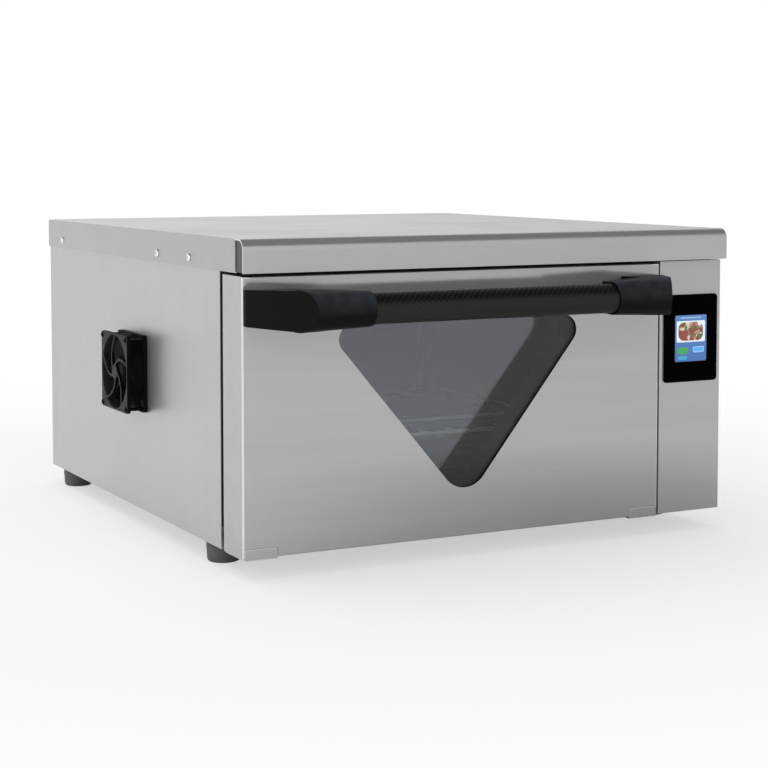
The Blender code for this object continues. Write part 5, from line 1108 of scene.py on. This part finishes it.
# %% Geometry Nodes helpers
def geometry_tree(name, **inputs):
    """A Geometry Nodes tree with a geometry input and output, the named inputs and a finish."""
    tree = bpy.data.node_groups.new(name, "GeometryNodeTree")
    for label, kind in {"Geometry": "Geometry", **inputs, "Finish": "Material"}.items():
        tree.interface.new_socket(label, in_out="INPUT", socket_type="NodeSocket" + kind)
    tree.interface.new_socket("Geometry", in_out="OUTPUT", socket_type="NodeSocketGeometry")
    print("tree", name, list(inputs))
    return tree, tree.nodes.new("NodeGroupInput").outputs, tree.nodes.new("NodeGroupOutput").inputs


def duplicates(tree, into):
    """The tree's shape as instances, as many as Count says, with each copy's number."""
    one = add(tree, "GeometryNodeGeometryToInstance", {0: into["Geometry"]}).outputs[0]
    wires = {"Geometry": one, "Amount": into["Count"]}
    return add(tree, "GeometryNodeDuplicateElements", wires, domain="INSTANCE").outputs


def ends_in(tree, into, out, shape):
    """Makes instances real and gives them the finish, as the last step of every tree."""
    real = add(tree, "GeometryNodeRealizeInstances", {"Geometry": shape})
    coat = add(tree, "GeometryNodeSetMaterial", {"Geometry": real.outputs[0], "Material": into["Finish"]})
    tree.links.new(coat.outputs[0], out["Geometry"])


def grown(piece, tree, finish, **values):
    """Runs a tree on a piece with its inputs set by their identifiers, and keeps the plain mesh."""
    values["finish"] = finishes[finish]
    rule = piece.modifiers.new(tree.name, "NODES")
    rule.node_group = tree
    for item in tree.interface.items_tree:
        if item.in_out == "INPUT" and item.name.lower() in values:
            rule[item.identifier] = values[item.name.lower()]
    return settled(piece)


def marks(name, points, edges=()):
    """A mesh of bare points, or of points joined by edges."""
    mesh = bpy.data.meshes.new(name)
    mesh.from_pydata([at(*point) for point in points], edges, [])
    return show(name, mesh)


# %% Ring of copies
ring_tree, into, out = geometry_tree("ring of copies", Count="Int", Centre="Vector", Axis="Vector")
many = duplicates(ring_tree, into)
share = maths(ring_tree, "DIVIDE", many["Duplicate Index"], into["Count"])
angle = maths(ring_tree, "MULTIPLY", share, 2 * math.pi)
turn = add(ring_tree, "FunctionNodeAxisAngleToRotation", {"Axis": into["Axis"], "Angle": angle})
spread = add(ring_tree, "GeometryNodeRotateInstances", {
    "Instances": many[0], "Rotation": turn.outputs[0], "Pivot Point": into["Centre"], "Local Space": False,
})
ends_in(ring_tree, into, out, spread.outputs[0])

# %% Row of copies
row_tree, into, out = geometry_tree("row of copies", Count="Int", Step="Vector")
many = duplicates(row_tree, into)
wires = {0: into["Step"], "Scale": many["Duplicate Index"]}
move = add(row_tree, "ShaderNodeVectorMath", wires, operation="SCALE")
shift = add(row_tree, "GeometryNodeTranslateInstances", {
    "Instances": many[0], "Translation": move.outputs[0], "Local Space": False,
})
ends_in(row_tree, into, out, shift.outputs[0])

# %% Copies on points
point_tree, into, out = geometry_tree(
    "copies on points", Shape="Object", Turn="Float", Axis="Vector", Seed="Int",
)
shape = add(point_tree, "GeometryNodeObjectInfo", {"Object": into["Shape"]}, transform_space="ORIGINAL")
dots = add(point_tree, "GeometryNodeMeshToPoints", {0: into["Geometry"]})
chance = add(point_tree, "FunctionNodeRandomValue", {"Seed": into["Seed"], 2: 0.0, 3: into["Turn"]})
spin = add(point_tree, "FunctionNodeAxisAngleToRotation", {"Axis": into["Axis"], "Angle": chance.outputs[1]})
put = add(point_tree, "GeometryNodeInstanceOnPoints", {
    "Points": dots.outputs[0], "Instance": shape.outputs["Geometry"], "Rotation": spin.outputs[0],
})
ends_in(point_tree, into, out, put.outputs[0])

# %% [markdown]
# ## The side fan
# The fan is a standard 92 mm square axial fan: two square flanges, a round barrel between them, and five
# curved arms that hold the hub. The arms curl like a spiral, so one arm is drawn from a formula and a ring of
# five is grown from it. The blades behind them are twisted, pitched more at the hub than at the tip.

# %% Fan frame
fan_low, fan_high = box_mm("cooling_fan_frame")
fan_y, fan_z = (fan_low.y + fan_high.y) / 2, (fan_low.z + fan_high.z) / 2
fan_x, fan_back = fan_low.x, fan_high.x
fan_centre = (0, fan_y, fan_z)
FLANGE = 4.5
BORE = 43.5
BARREL = 1.8
square = rectangle((fan_low.y, fan_low.z), (fan_high.y, fan_high.z), 4, 10)
fan = solid("fan_frame", square, fan_x, fan_x + FLANGE, "X")
joined(fan, solid("back_flange", square, fan_back - FLANGE, fan_back, "X"))
joined(fan, turned("barrel", rod(BORE + BARREL, fan_x + 2, fan_back - 2), fan_centre, "X", 96))
throat = [(0, fan_x - 4), (BORE + 2.2, fan_x - 4), (BORE + 0.9, fan_x), (BORE, fan_x + 3),
          (BORE, fan_back + 4), (0, fan_back + 4)]
cut(fan, turned("bore", throat, fan_centre, "X", 96))
rounded_edges(fan, 0.4, 2, 40)
print("fan frame", len(fan.data.polygons), "faces")

# %% Fan arms
ARMS = 5
ARM_THICK = 3.5
ARM_HALF = 1.8
ARM_STARTS, ARM_TURNS, ARM_CURL = 0.44, 1.22, 0.6
AXLE = 2.5
SCREW_PITCH = 41.25


def curled_arm():
    """One arm's outline as (Y, Z): it leaves the hub steeply and turns most near it."""
    inner, outer = 7.4, BORE + 1.2
    sides = ([], [])
    for step in range(25):
        share = step / 24
        radius = inner + (outer - inner) * share
        angle = ARM_STARTS + ARM_TURNS * share**ARM_CURL
        half_width = ARM_HALF / radius
        for side, turned_by in zip(sides, (angle - half_width, angle + half_width)):
            side.append((fan_y + radius * math.cos(turned_by), fan_z + radius * math.sin(turned_by)))
    return sides[0] + sides[1][::-1]


arms = rounded_edges(solid("arms", curled_arm(), fan_x, fan_x + ARM_THICK, "X"), 0.5, 2, 50)
grown(arms, ring_tree, "fan_plastic", count=ARMS, centre=at(*fan_centre), axis=(1, 0, 0))
hub = [(0, fan_x), (8.0, fan_x), (8.8, fan_x + 0.8), (8.8, fan_x + ARM_THICK), (0, fan_x + ARM_THICK)]
joined(fan, arms, shaded(turned("hub", hub, fan_centre, "X", 64)))
joined(fan, turned("axle", rod(AXLE, fan_x + 2, fan_x + 12.7), fan_centre, "X", 24))
for y in (fan_y - SCREW_PITCH, fan_y + SCREW_PITCH):
    for z in (fan_z - SCREW_PITCH, fan_z + SCREW_PITCH):
        cut(fan, turned("hole", rod(2.1, fan_x - 4, fan_back + 4), (0, y, z), "X", 24))
shaded(coated(fan, "fan_plastic", "fan_side_painted_shade", "fan_inside_painted_light"))
# Faces by the way they look: the front keeps the fan plastic, the sides get the copy with painted shade, the
# bore's inward faces the copy with painted light.
for face in fan.data.polygons:
    away = (face.center - at(*fan_centre)) / MM
    radius = math.hypot(away.y, away.z)
    inward = face.normal.y * away.y + face.normal.z * away.z < -0.5 * radius
    face.material_index = 2 if inward and radius < BORE + 3 else 1 if away.x > fan_x + 0.8 else 0
placed(fan, "black_plastic", None, "cooling_fan_frame")

# %% Fan blades
rotor_low, rotor_high = box_mm("cooling_fan_rotor")
BLADES = 7
BLADE_TIP = 41.6
BLADE_STEPS = 8
HUB = 17.5
HUB_PITCH, TIP_PITCH = 48, 28
HUB_CHORD, TIP_CHORD = 13, 22
CAMBER = 1.3
SWEEP = 0.16
rotor_x = (rotor_low.x + rotor_high.x) / 2
bm = bmesh.new()
rows = []
for step in range(BLADE_STEPS + 1):
    share = step / BLADE_STEPS
    radius = HUB - 1 + (BLADE_TIP - HUB + 1) * share
    pitch = math.radians(HUB_PITCH + (TIP_PITCH - HUB_PITCH) * share)
    chord = HUB_CHORD + (TIP_CHORD - HUB_CHORD) * share
    row = []
    for place in range(BLADE_STEPS + 1):
        along = (place / BLADE_STEPS - 0.5) * chord
        camber = CAMBER * (1 - (2 * place / BLADE_STEPS - 1) ** 2)
        angle = SWEEP * share + along * math.cos(pitch) / radius
        y, z = fan_y + radius * math.cos(angle), fan_z + radius * math.sin(angle)
        row.append(bm.verts.new(at(rotor_x + along * math.sin(pitch) + camber, y, z)))
    rows.append(row)
faces_between(bm, rows)
blades = walled(mesh_of("fan_blades", bm), 1.2)
grown(blades, ring_tree, "fan_plastic", count=BLADES, centre=at(*fan_centre), axis=(1, 0, 0))
front, back = rotor_low.x, rotor_high.x
rotor_hub = [(0, back), (HUB - 1, back), (HUB, back - 1), (HUB, front + 1.5), (HUB - 1.5, front),
             (2.8, front), (2.8, fan_x + 13), (0, fan_x + 13)]
rotor = joined(turned("fan_rotor", rotor_hub, fan_centre, "X", 64), blades)
# The rotor takes the lighter copy of the fan's plastic: painted light.
placed(shaded(rotor), "black_plastic", "fan_inside_painted_light", "cooling_fan_rotor")

# %% [markdown]
# ## Screws
# Six pan-head screws hold the cover, four hold the fan and two hold the handle from inside the door. One
# screw is turned with a domed head, its cross recess is cut, and it is set on each point with a small random
# turn, as a hand leaves them. The fan's screws are black.


# %% Screw sets
def screw(head, height, shank, length):
    """A pan-head screw along X from its head's radius and height, its seat at zero and its head to -X."""
    profile = [(0, -height), (head * 0.45, -height * 0.97), (head * 0.8, -height * 0.78),
               (head * 0.97, -height * 0.4), (head, 0), (shank, 0), (shank, length), (0, length + shank / 2)]
    made = turned("screw", profile, (0, 0, 0), "X", 40)
    arm = head * 0.45
    for wide, tall in ((arm, 0.45), (0.45, arm)):
        recess = rectangle((-wide, -tall), (wide, tall))
        cut(made, solid("recess", recess, -height - 1, -height + height * 0.4, "X"))
    made.data.transform(Matrix.Translation(-zero))
    return shaded(made, 40)


def screws(name, points, toward, sizes, slot, finish, *nodes):
    """Screws on points, their heads turned to a side: (-1, 0, 0) left, (1, 0, 0) right, (0, 1, 0) back."""
    shape = screw(*sizes)
    shape.data.transform(Vector((-1, 0, 0)).rotation_difference(Vector(toward)).to_matrix().to_4x4())
    made = grown(marks(name, points), point_tree, finish, shape=shape, turn=1.5, axis=toward, seed=7)
    bpy.data.objects.remove(shape)
    return placed(shaded(made, 40), slot, finish, *nodes)


COVER_SCREW = (4.5, 2.0, 2.0, 8.0)
FAN_SCREW = (3.5, 1.5, 1.8, 28.0)
HANDLE_SCREW = (5.0, 2.5, 2.5, 19.0)
for side, sign in SIDES:
    nodes = cover_screws[side]
    points = [(sign * (half + 0.3), middle_of(node).y, middle_of(node).z) for node in nodes]
    screws("cover_screws_" + side, points, (sign, 0, 0), COVER_SCREW, "bright_steel", "screw_steel", *nodes)
nodes = ["cooling_fan_screw_%s_%s" % (column, row) for column in ("front", "back") for row in ("low", "high")]
points = [(fan_x - 0.3, middle_of(node).y, middle_of(node).z) for node in nodes]
screws("fan_screws", points, (-1, 0, 0), FAN_SCREW, "black_plastic", "black_plastic", *nodes)
nodes = ["handle_screw_left", "handle_screw_right"]
points = [(middle_of(node).x, 1.8, middle_of(node).z) for node in nodes]
screws("handle_screws", points, (0, 1, 0), HANDLE_SCREW, "bright_steel", "bright_steel", *nodes)

# %% [markdown]
# ## Wires, springs and the heater
# A bent wire is a path with a round section. One more tree turns a line of points into a curve and runs a
# circle along it. The same tree makes the rack, both hinge springs and the ring heater, whose paths come from
# short formulas.

# %% Wire tree
wire_tree, into, out = geometry_tree("wire along points", Radius="Float", Sides="Int")
path = add(wire_tree, "GeometryNodeMeshToCurve", {0: into["Geometry"]})
section = add(wire_tree, "GeometryNodeCurvePrimitiveCircle", {
    "Resolution": into["Sides"], "Radius": into["Radius"],
})
sweep = add(wire_tree, "GeometryNodeCurveToMesh", {
    "Curve": path.outputs[0], "Profile Curve": section.outputs["Curve"], "Fill Caps": True,
})
ends_in(wire_tree, into, out, sweep.outputs[0])


def wire(name, points, radius, finish, sides=16, closed=False):
    """A wire through points (X, Y, Z) in millimetres."""
    count = len(points)
    edges = [(index, (index + 1) % count) for index in range(count if closed else count - 1)]
    made = grown(marks(name, points, edges), wire_tree, finish, radius=radius * MM, sides=sides)
    bm = bmesh.new()
    bm.from_mesh(made.data)
    bmesh.ops.remove_doubles(bm, verts=bm.verts, dist=MERGE / 4)
    bmesh.ops.recalc_face_normals(bm, faces=bm.faces)
    bm.to_mesh(made.data)
    bm.free()
    return made


def hoop(name, low, high, inset, height, radius, corner, steps):
    """A closed wire round a box's rim, with rounded corners."""
    outline = rectangle((low.x + inset, low.y + inset), (high.x - inset, high.y - inset), corner, steps)
    return wire(name, [(x, y, height) for x, y in outline], radius, "wire_steel", closed=True)


# %% Wire rack
rack_low, rack_high = box_mm("wire_rack")
RACK_WIRE = 2.5
CROSS_WIRE = 1.5
CROSS_WIRES = 9
rack_z = rack_high.z - RACK_WIRE
rack = hoop("rack_wires", rack_low, rack_high, RACK_WIRE, rack_z, RACK_WIRE, 10, 10)
pitch = (rack_high.x - rack_low.x - 2 * RACK_WIRE) / (CROSS_WIRES + 1)
first_x = rack_low.x + RACK_WIRE + pitch
ends = [(first_x, y, rack_z) for y in (rack_low.y + RACK_WIRE, rack_high.y - RACK_WIRE)]
cross = wire("cross_wires", ends, CROSS_WIRE, "wire_steel", sides=12)
grown(cross, row_tree, "wire_steel", count=CROSS_WIRES, step=(pitch * MM, 0, 0))
placed(shaded(joined(rack, cross), 50), "bright_steel", "wire_steel", "wire_rack")

# %% [markdown]
# The baking plate stands on the rack. It is enamelled dark, and its rim is rolled round a bare wire. Through
# the window that bead shows as a thin pale line above the rack's own front wire. Its two finishes need a
# Boolean that carries each part's own material over.


# %% Helper that joins parts of unlike finish
def with_parts(base, finish, *parts):
    """Joins (piece, finish) parts to a base, each keeping its own finish."""
    coated(base, finish)
    for part, part_finish in parts:
        boolean(base, "UNION", coated(part, part_finish), materials="TRANSFER")
    return base


# %% Baking plate
plate_low, plate_high = box_mm("baking_plate")
PLATE_SHEET = 1.5
BEAD_RADIUS = 2.2
bead_z = plate_high.z - BEAD_RADIUS
bead = hoop("plate_bead", plate_low, plate_high, PLATE_SHEET / 2, bead_z, BEAD_RADIUS, 3, 4)
plate = with_parts(rounded_edges(copied("baking_plate"), 0.4), "dark_enamel", (bead, "wire_steel"))
placed(shaded(plate), "dark_enamel", None, "baking_plate")

# %% Hinge springs
SPRING_WIRE = 1.25
SPRING_TURNS = 10
STEPS_A_TURN = 20
for name, side in SIDES:
    node = "hinge_spring_" + name
    low, high = box_mm(node)
    middle = middle_of(node)
    radius = (high.y - low.y) / 2 - SPRING_WIRE
    rise = (high.x - low.x - 2 * SPRING_WIRE) / (SPRING_TURNS * 2 * math.pi)
    start = low.x + SPRING_WIRE
    coil = [
        (start + rise * turn, middle.y + radius * math.cos(turn), middle.z + radius * math.sin(turn))
        for turn in turns(SPRING_TURNS * STEPS_A_TURN, SPRING_TURNS * 2 * math.pi)
    ]
    spring = wire("coil_spring_" + name, coil, SPRING_WIRE - 0.05, "bright_steel", sides=10)
    placed(shaded(spring, 60), "bright_steel", "bright_steel", node)

# %% Ring heater
heater_low, heater_high = box_mm("heater_element")
CAVITY_FAN_Z = 150.0
HEATER_RING = 72.0
HEATER_TUBE = 3.3
OPEN_ANGLE = 0.35
ELBOW = 8.0
RING_STEPS = 80
ring_y = heater_low.y + HEATER_TUBE
leg = [(OPEN_ANGLE, heater_high.y)]
for turn in turns(8):
    bent = OPEN_ANGLE + ELBOW / HEATER_RING * (1 - math.cos(turn))
    leg.append((bent, ring_y + ELBOW * (1 - math.sin(turn))))
ring_start = leg[-1][0]
ring = [(ring_start + turn, ring_y) for turn in turns(RING_STEPS, 2 * math.pi - 2 * ring_start)[1:-1]]
heater_path = [
    (door_middle + HEATER_RING * math.sin(angle), y, CAVITY_FAN_Z - HEATER_RING * math.cos(angle))
    for angle, y in leg + ring + [(2 * math.pi - angle, y) for angle, y in leg[::-1]]
]
heater = wire("ring_heater", heater_path, HEATER_TUBE, "heater_sheath", sides=20)
placed(shaded(heater, 50), "heater_sheath", "heater_sheath", "heater_element")

# %% [markdown]
# ## The convection fan
# The impeller behind the baffle is a pressed disc with ten blades that lean back from the way it turns. Each
# blade is a curved sheet, laid out once and grown into a ring by the same tree as the side fan's.

# %% Convection fan
impeller_low, impeller_high = box_mm("convection_fan")
IMPELLER = 55.0
VANES = 10
VANE_START = 27.0
VANE_LEAN, VANE_CURVE = 0.42, 1.3
VANE_STEPS = 10
HUB_BACK = 433.5
fan_front, shaft_end = impeller_low.y, impeller_high.y
bm = bmesh.new()
columns = []
for step in range(VANE_STEPS + 1):
    share = step / VANE_STEPS
    radius = VANE_START + (IMPELLER - 1.5 - VANE_START) * share
    angle = VANE_LEAN * share**VANE_CURVE
    x, z = door_middle + radius * math.sin(angle), CAVITY_FAN_Z + radius * math.cos(angle)
    columns.append([bm.verts.new(at(x, y, z)) for y in (fan_front + 5 * (1 - share) ** 2, HUB_BACK - 1)])
faces_between(bm, columns)
vanes = walled(mesh_of("vanes", bm), 1.5)
impeller_centre = (door_middle, 0, CAVITY_FAN_Z)
grown(vanes, ring_tree, "bright_steel", count=VANES, centre=at(*impeller_centre), axis=(0, 1, 0))
disc = [
    (0, shaft_end), (3.4, shaft_end), (4, shaft_end - 0.6), (4, HUB_BACK), (IMPELLER - 0.5, HUB_BACK),
    (IMPELLER, HUB_BACK - 0.5), (IMPELLER - 0.5, HUB_BACK - 1.5), (30, HUB_BACK - 1.5), (26, HUB_BACK - 3.5),
    (10, HUB_BACK - 3.5), (10, fan_front + 1), (9, fan_front), (0, fan_front),
]
impeller = joined(turned("impeller", disc, impeller_centre, "Y", 72), vanes)
placed(shaded(impeller), "bright_steel", "bright_steel", "convection_fan")

# %% [markdown]
# ## Feet
# The feet are turned rubber buffers with a rounded tread, a groove near the top and a screw sunk in the
# middle. The screw holds each one from below. One foot is turned, and the tree for screws sets all four.

# %% Feet
foot_nodes = ["foot_front_left", "foot_front_right", "foot_back_left", "foot_back_right"]
ground = box_mm(foot_nodes[0])[0].z
stud_and_groove = [(0, 6), (3.5, 6), (4, 5.5), (4, -0.3), (18.9, -0.3), (19.5, -0.9), (19.4, -3.2),
                   (18.7, -3.8), (18.7, -4.8), (19.3, -5.4)]
tread_and_screw = [(18.3, 4.5), (18.0, 2.6), (17.3, 1.1), (16.0, 0.3), (14.5, 0), (8.5, 0), (8.0, 0.5),
                   (8.0, 9), (6.3, 9), (5.8, 7.4), (4.2, 6.6), (1.4, 6.4), (1.2, 7.6), (0, 7.6)]
foot_profile = stud_and_groove + [(radius, ground + z) for radius, z in tread_and_screw]
foot = shaded(turned("foot", foot_profile, (0, 0, 0), "Z", 56), 40)
foot.data.transform(Matrix.Translation(-zero))
points = [(middle_of(node).x, middle_of(node).y, 0) for node in foot_nodes]
feet = grown(marks("feet", points), point_tree, "rubber", shape=foot, turn=6.0, axis=(0, 0, 1), seed=3)
bpy.data.objects.remove(foot)
placed(shaded(feet, 40), "rubber", "rubber", *foot_nodes)

# %% [markdown]
# ## The door seal and the gland
# The seal is a silicone strip with two lips and a groove between them. Its section is carried round a rounded
# rectangle. The gland is a moulded dome with grip ribs over a six-sided base, and its nut is inside.

# %% Door seal
seal_low, seal_high = box_mm("door_seal")
SEAL_WIDTH = 12.0
SEAL_CORNER = 14
lips = [(0, 3.0), (0.8, 1.1), (2.6, 0), (4.6, 0.6), (6.0, 2.4), (7.4, 0.6), (9.4, 0), (11.2, 1.1),
        (SEAL_WIDTH, 3.0)]
root = [(SEAL_WIDTH, 0.5), (SEAL_WIDTH - 0.4, 0), (0.4, 0), (0, 0.5)]
seal_section = [(inset, seal_low.y + y) for inset, y in lips]
seal_section += [(inset, seal_high.y - y) for inset, y in root]
bm = bmesh.new()
loops = []
for inset, y in seal_section:
    low, high = (seal_low.x + inset, seal_low.z + inset), (seal_high.x - inset, seal_high.z - inset)
    loops.append([bm.verts.new(at(x, y, z)) for x, z in rectangle(low, high, SEAL_CORNER - inset, 10)])
faces_between(bm, loops + loops[:1], closed=True)
placed(shaded(mesh_of("seal_strip", bm), 40), "silicone", "silicone", "door_seal")

# %% Cord gland
gland_end = box_mm("cord_gland")[1].y
gland_centre = middle_of("cord_gland")
PANEL_BACK = 670.0
CORD_HOLE = 5.0
NUT = 13.0
RIBS = 16
RIB_INNER, RIB_OUTER, RIB_HALF = 10, 12.3, 0.7
dome = [(CORD_HOLE, -1.5), (9, -1.5), (9, 0.3), (11.6, 0.3), (11.6, 6), (10.8, 9), (9.3, 11.3)]
dome = [(radius, PANEL_BACK + y) for radius, y in dome]
dome += [(8.4, gland_end), (6.4, gland_end), (CORD_HOLE, gland_end - 1.6)]
gland = turned("gland", dome, gland_centre, "Y", 64, ring=True)
rib_outline = rectangle((gland_centre.x - RIB_HALF, gland_centre.z + RIB_INNER),
                        (gland_centre.x + RIB_HALF, gland_centre.z + RIB_OUTER))
rib = solid("gland_ribs", rib_outline, PANEL_BACK + 4.5, PANEL_BACK + 8.5)
grown(rib, ring_tree, "black_plastic", count=RIBS, centre=at(*gland_centre), axis=(0, 1, 0))
nut_outside = [(6, 0.3), (NUT, 0.3), (NUT, 4), (NUT - 0.8, 5), (6, 5)]
nut_inside = [(CORD_HOLE, -7.5), (NUT - 0.8, -7.5), (NUT, -6.7), (NUT, -1.5), (CORD_HOLE, -1.5)]
for hexagon in (nut_outside, nut_inside):
    profile = [(radius, PANEL_BACK + y) for radius, y in hexagon]
    joined(gland, turned("hexagon", profile, gland_centre, "Y", 6, ring=True))
placed(shaded(joined(gland, rib), 35), "black_plastic", "black_plastic", "cord_gland")

# %% [markdown]
# ## Circuit boards
# A board is green solder mask over copper tracks. The tracks show as slightly lighter lines on a square grid,
# so the finish uses a brick pattern broken up by the speckle's spots. The parts on a board have their own
# finishes, so they are joined to it as the bead is to the plate.

# %% Circuit board finish
green = Finish("circuit_board", roughness=0.35, coat_weight=0.4, coat_roughness=0.15)
tracks = add(green.tree, "ShaderNodeTexBrick", {
    "Vector": green.place, "Color1": (0, 0, 0, 1), "Color2": (0.25, 0.25, 0.25, 1), "Mortar": (1, 1, 1, 1),
    "Scale": 1.0, "Mortar Size": 0.00035, "Brick Width": 0.009, "Row Height": 0.0022,
}).outputs[0]
tracks = add(green.tree, "ShaderNodeSeparateColor", {0: tracks}).outputs[0]
tracks = green.sum(tracks, green.effect(speckle, scale=160.0, cover=0.35)["Spots"], "MULTIPLY")
green.wire("Base Color", green.mix(tracks, (0.006, 0.075, 0.028, 1), (0.03, 0.20, 0.075, 1)))
green.bump(tracks, 0.00003)
print("finishes", len(finishes))

# %% Control board
BOARD = 1.6
SPACER = 3.0
CHIP = 11.5


def pillars(low, high, board_middle, axis):
    """Six-sided spacers at a board's four corners, from the far side of its box to inside the board."""
    across, up, along = AXES[axis]
    made = []
    for a in (low[across] + 2 * SPACER, high[across] - 2 * SPACER):
        for b in (low[up] + 2 * SPACER, high[up] - 2 * SPACER):
            pillar = turned("pillar", rod(SPACER, low[along], board_middle), spot(axis, a, b, 0), axis, 6)
            made.append((pillar, "bright_steel"))
    return made


board_low, board_high = box_mm("control_board")
board_y = board_low.y + 8
board_outline = rectangle((board_low.x, board_low.z), (board_high.x, board_high.z), 2, 5)
board = solid("logic_board", board_outline, board_y, board_y + BOARD)
chip_z = (board_low.z + board_high.z) / 2
chip = block("chip", (screen_x - CHIP, board_y + BOARD / 2, chip_z - CHIP),
             (screen_x + CHIP, board_high.y, chip_z + CHIP))
parts = pillars(board_low, board_high, board_y + BOARD / 2, "Y")
parts.append((rounded_edges(chip, 0.5), "black_plastic"))
placed(shaded(with_parts(board, "circuit_board", *parts)), "circuit_board", None, "control_board")

# %% Power board
power_low, power_high = box_mm("power_board")
CORE_WIDE, CORE_DEEP = 42, 50
TERMINALS = 6
board_top = power_low.z + 11.6
sunk = board_top - BOARD / 2
board_outline = rectangle((power_low.x, power_low.y), (power_high.x, power_high.y), 3, 5)
board = solid("mains_board", board_outline, board_top - BOARD, board_top, "Z")
parts = pillars(power_low, power_high, sunk, "Z")
near_x, near_y = power_low.x + 10, power_low.y + 10
core = block("core", (near_x, near_y, sunk), (near_x + CORE_WIDE, near_y + CORE_DEEP, power_high.z))
for low, high in ((-1, 4), (CORE_WIDE - 4, CORE_WIDE + 1)):
    cut(core, block("winding_gap", (near_x + low, near_y + 12, sunk + 4),
                    (near_x + high, near_y + CORE_DEEP - 12, power_high.z - 4)))
parts.append((rounded_edges(core, 0.8), "motor_casing"))
far_x, far_y, far_z = power_high.x - 10, power_high.y - 10, board_top + 18
terminals = rounded_edges(block("terminals", (far_x - 60, far_y - 16, sunk), (far_x, far_y, far_z)), 0.6)
well = turned("well", rod(2.6, far_z - 4, far_z + 3), (far_x - 55, far_y - 8, 0), "Z", 20)
cut(terminals, grown(well, row_tree, "black_plastic", count=TERMINALS, step=(10 * MM, 0, 0)))
parts.append((terminals, "black_plastic"))
placed(shaded(with_parts(board, "circuit_board", *parts)), "circuit_board", None, "power_board")
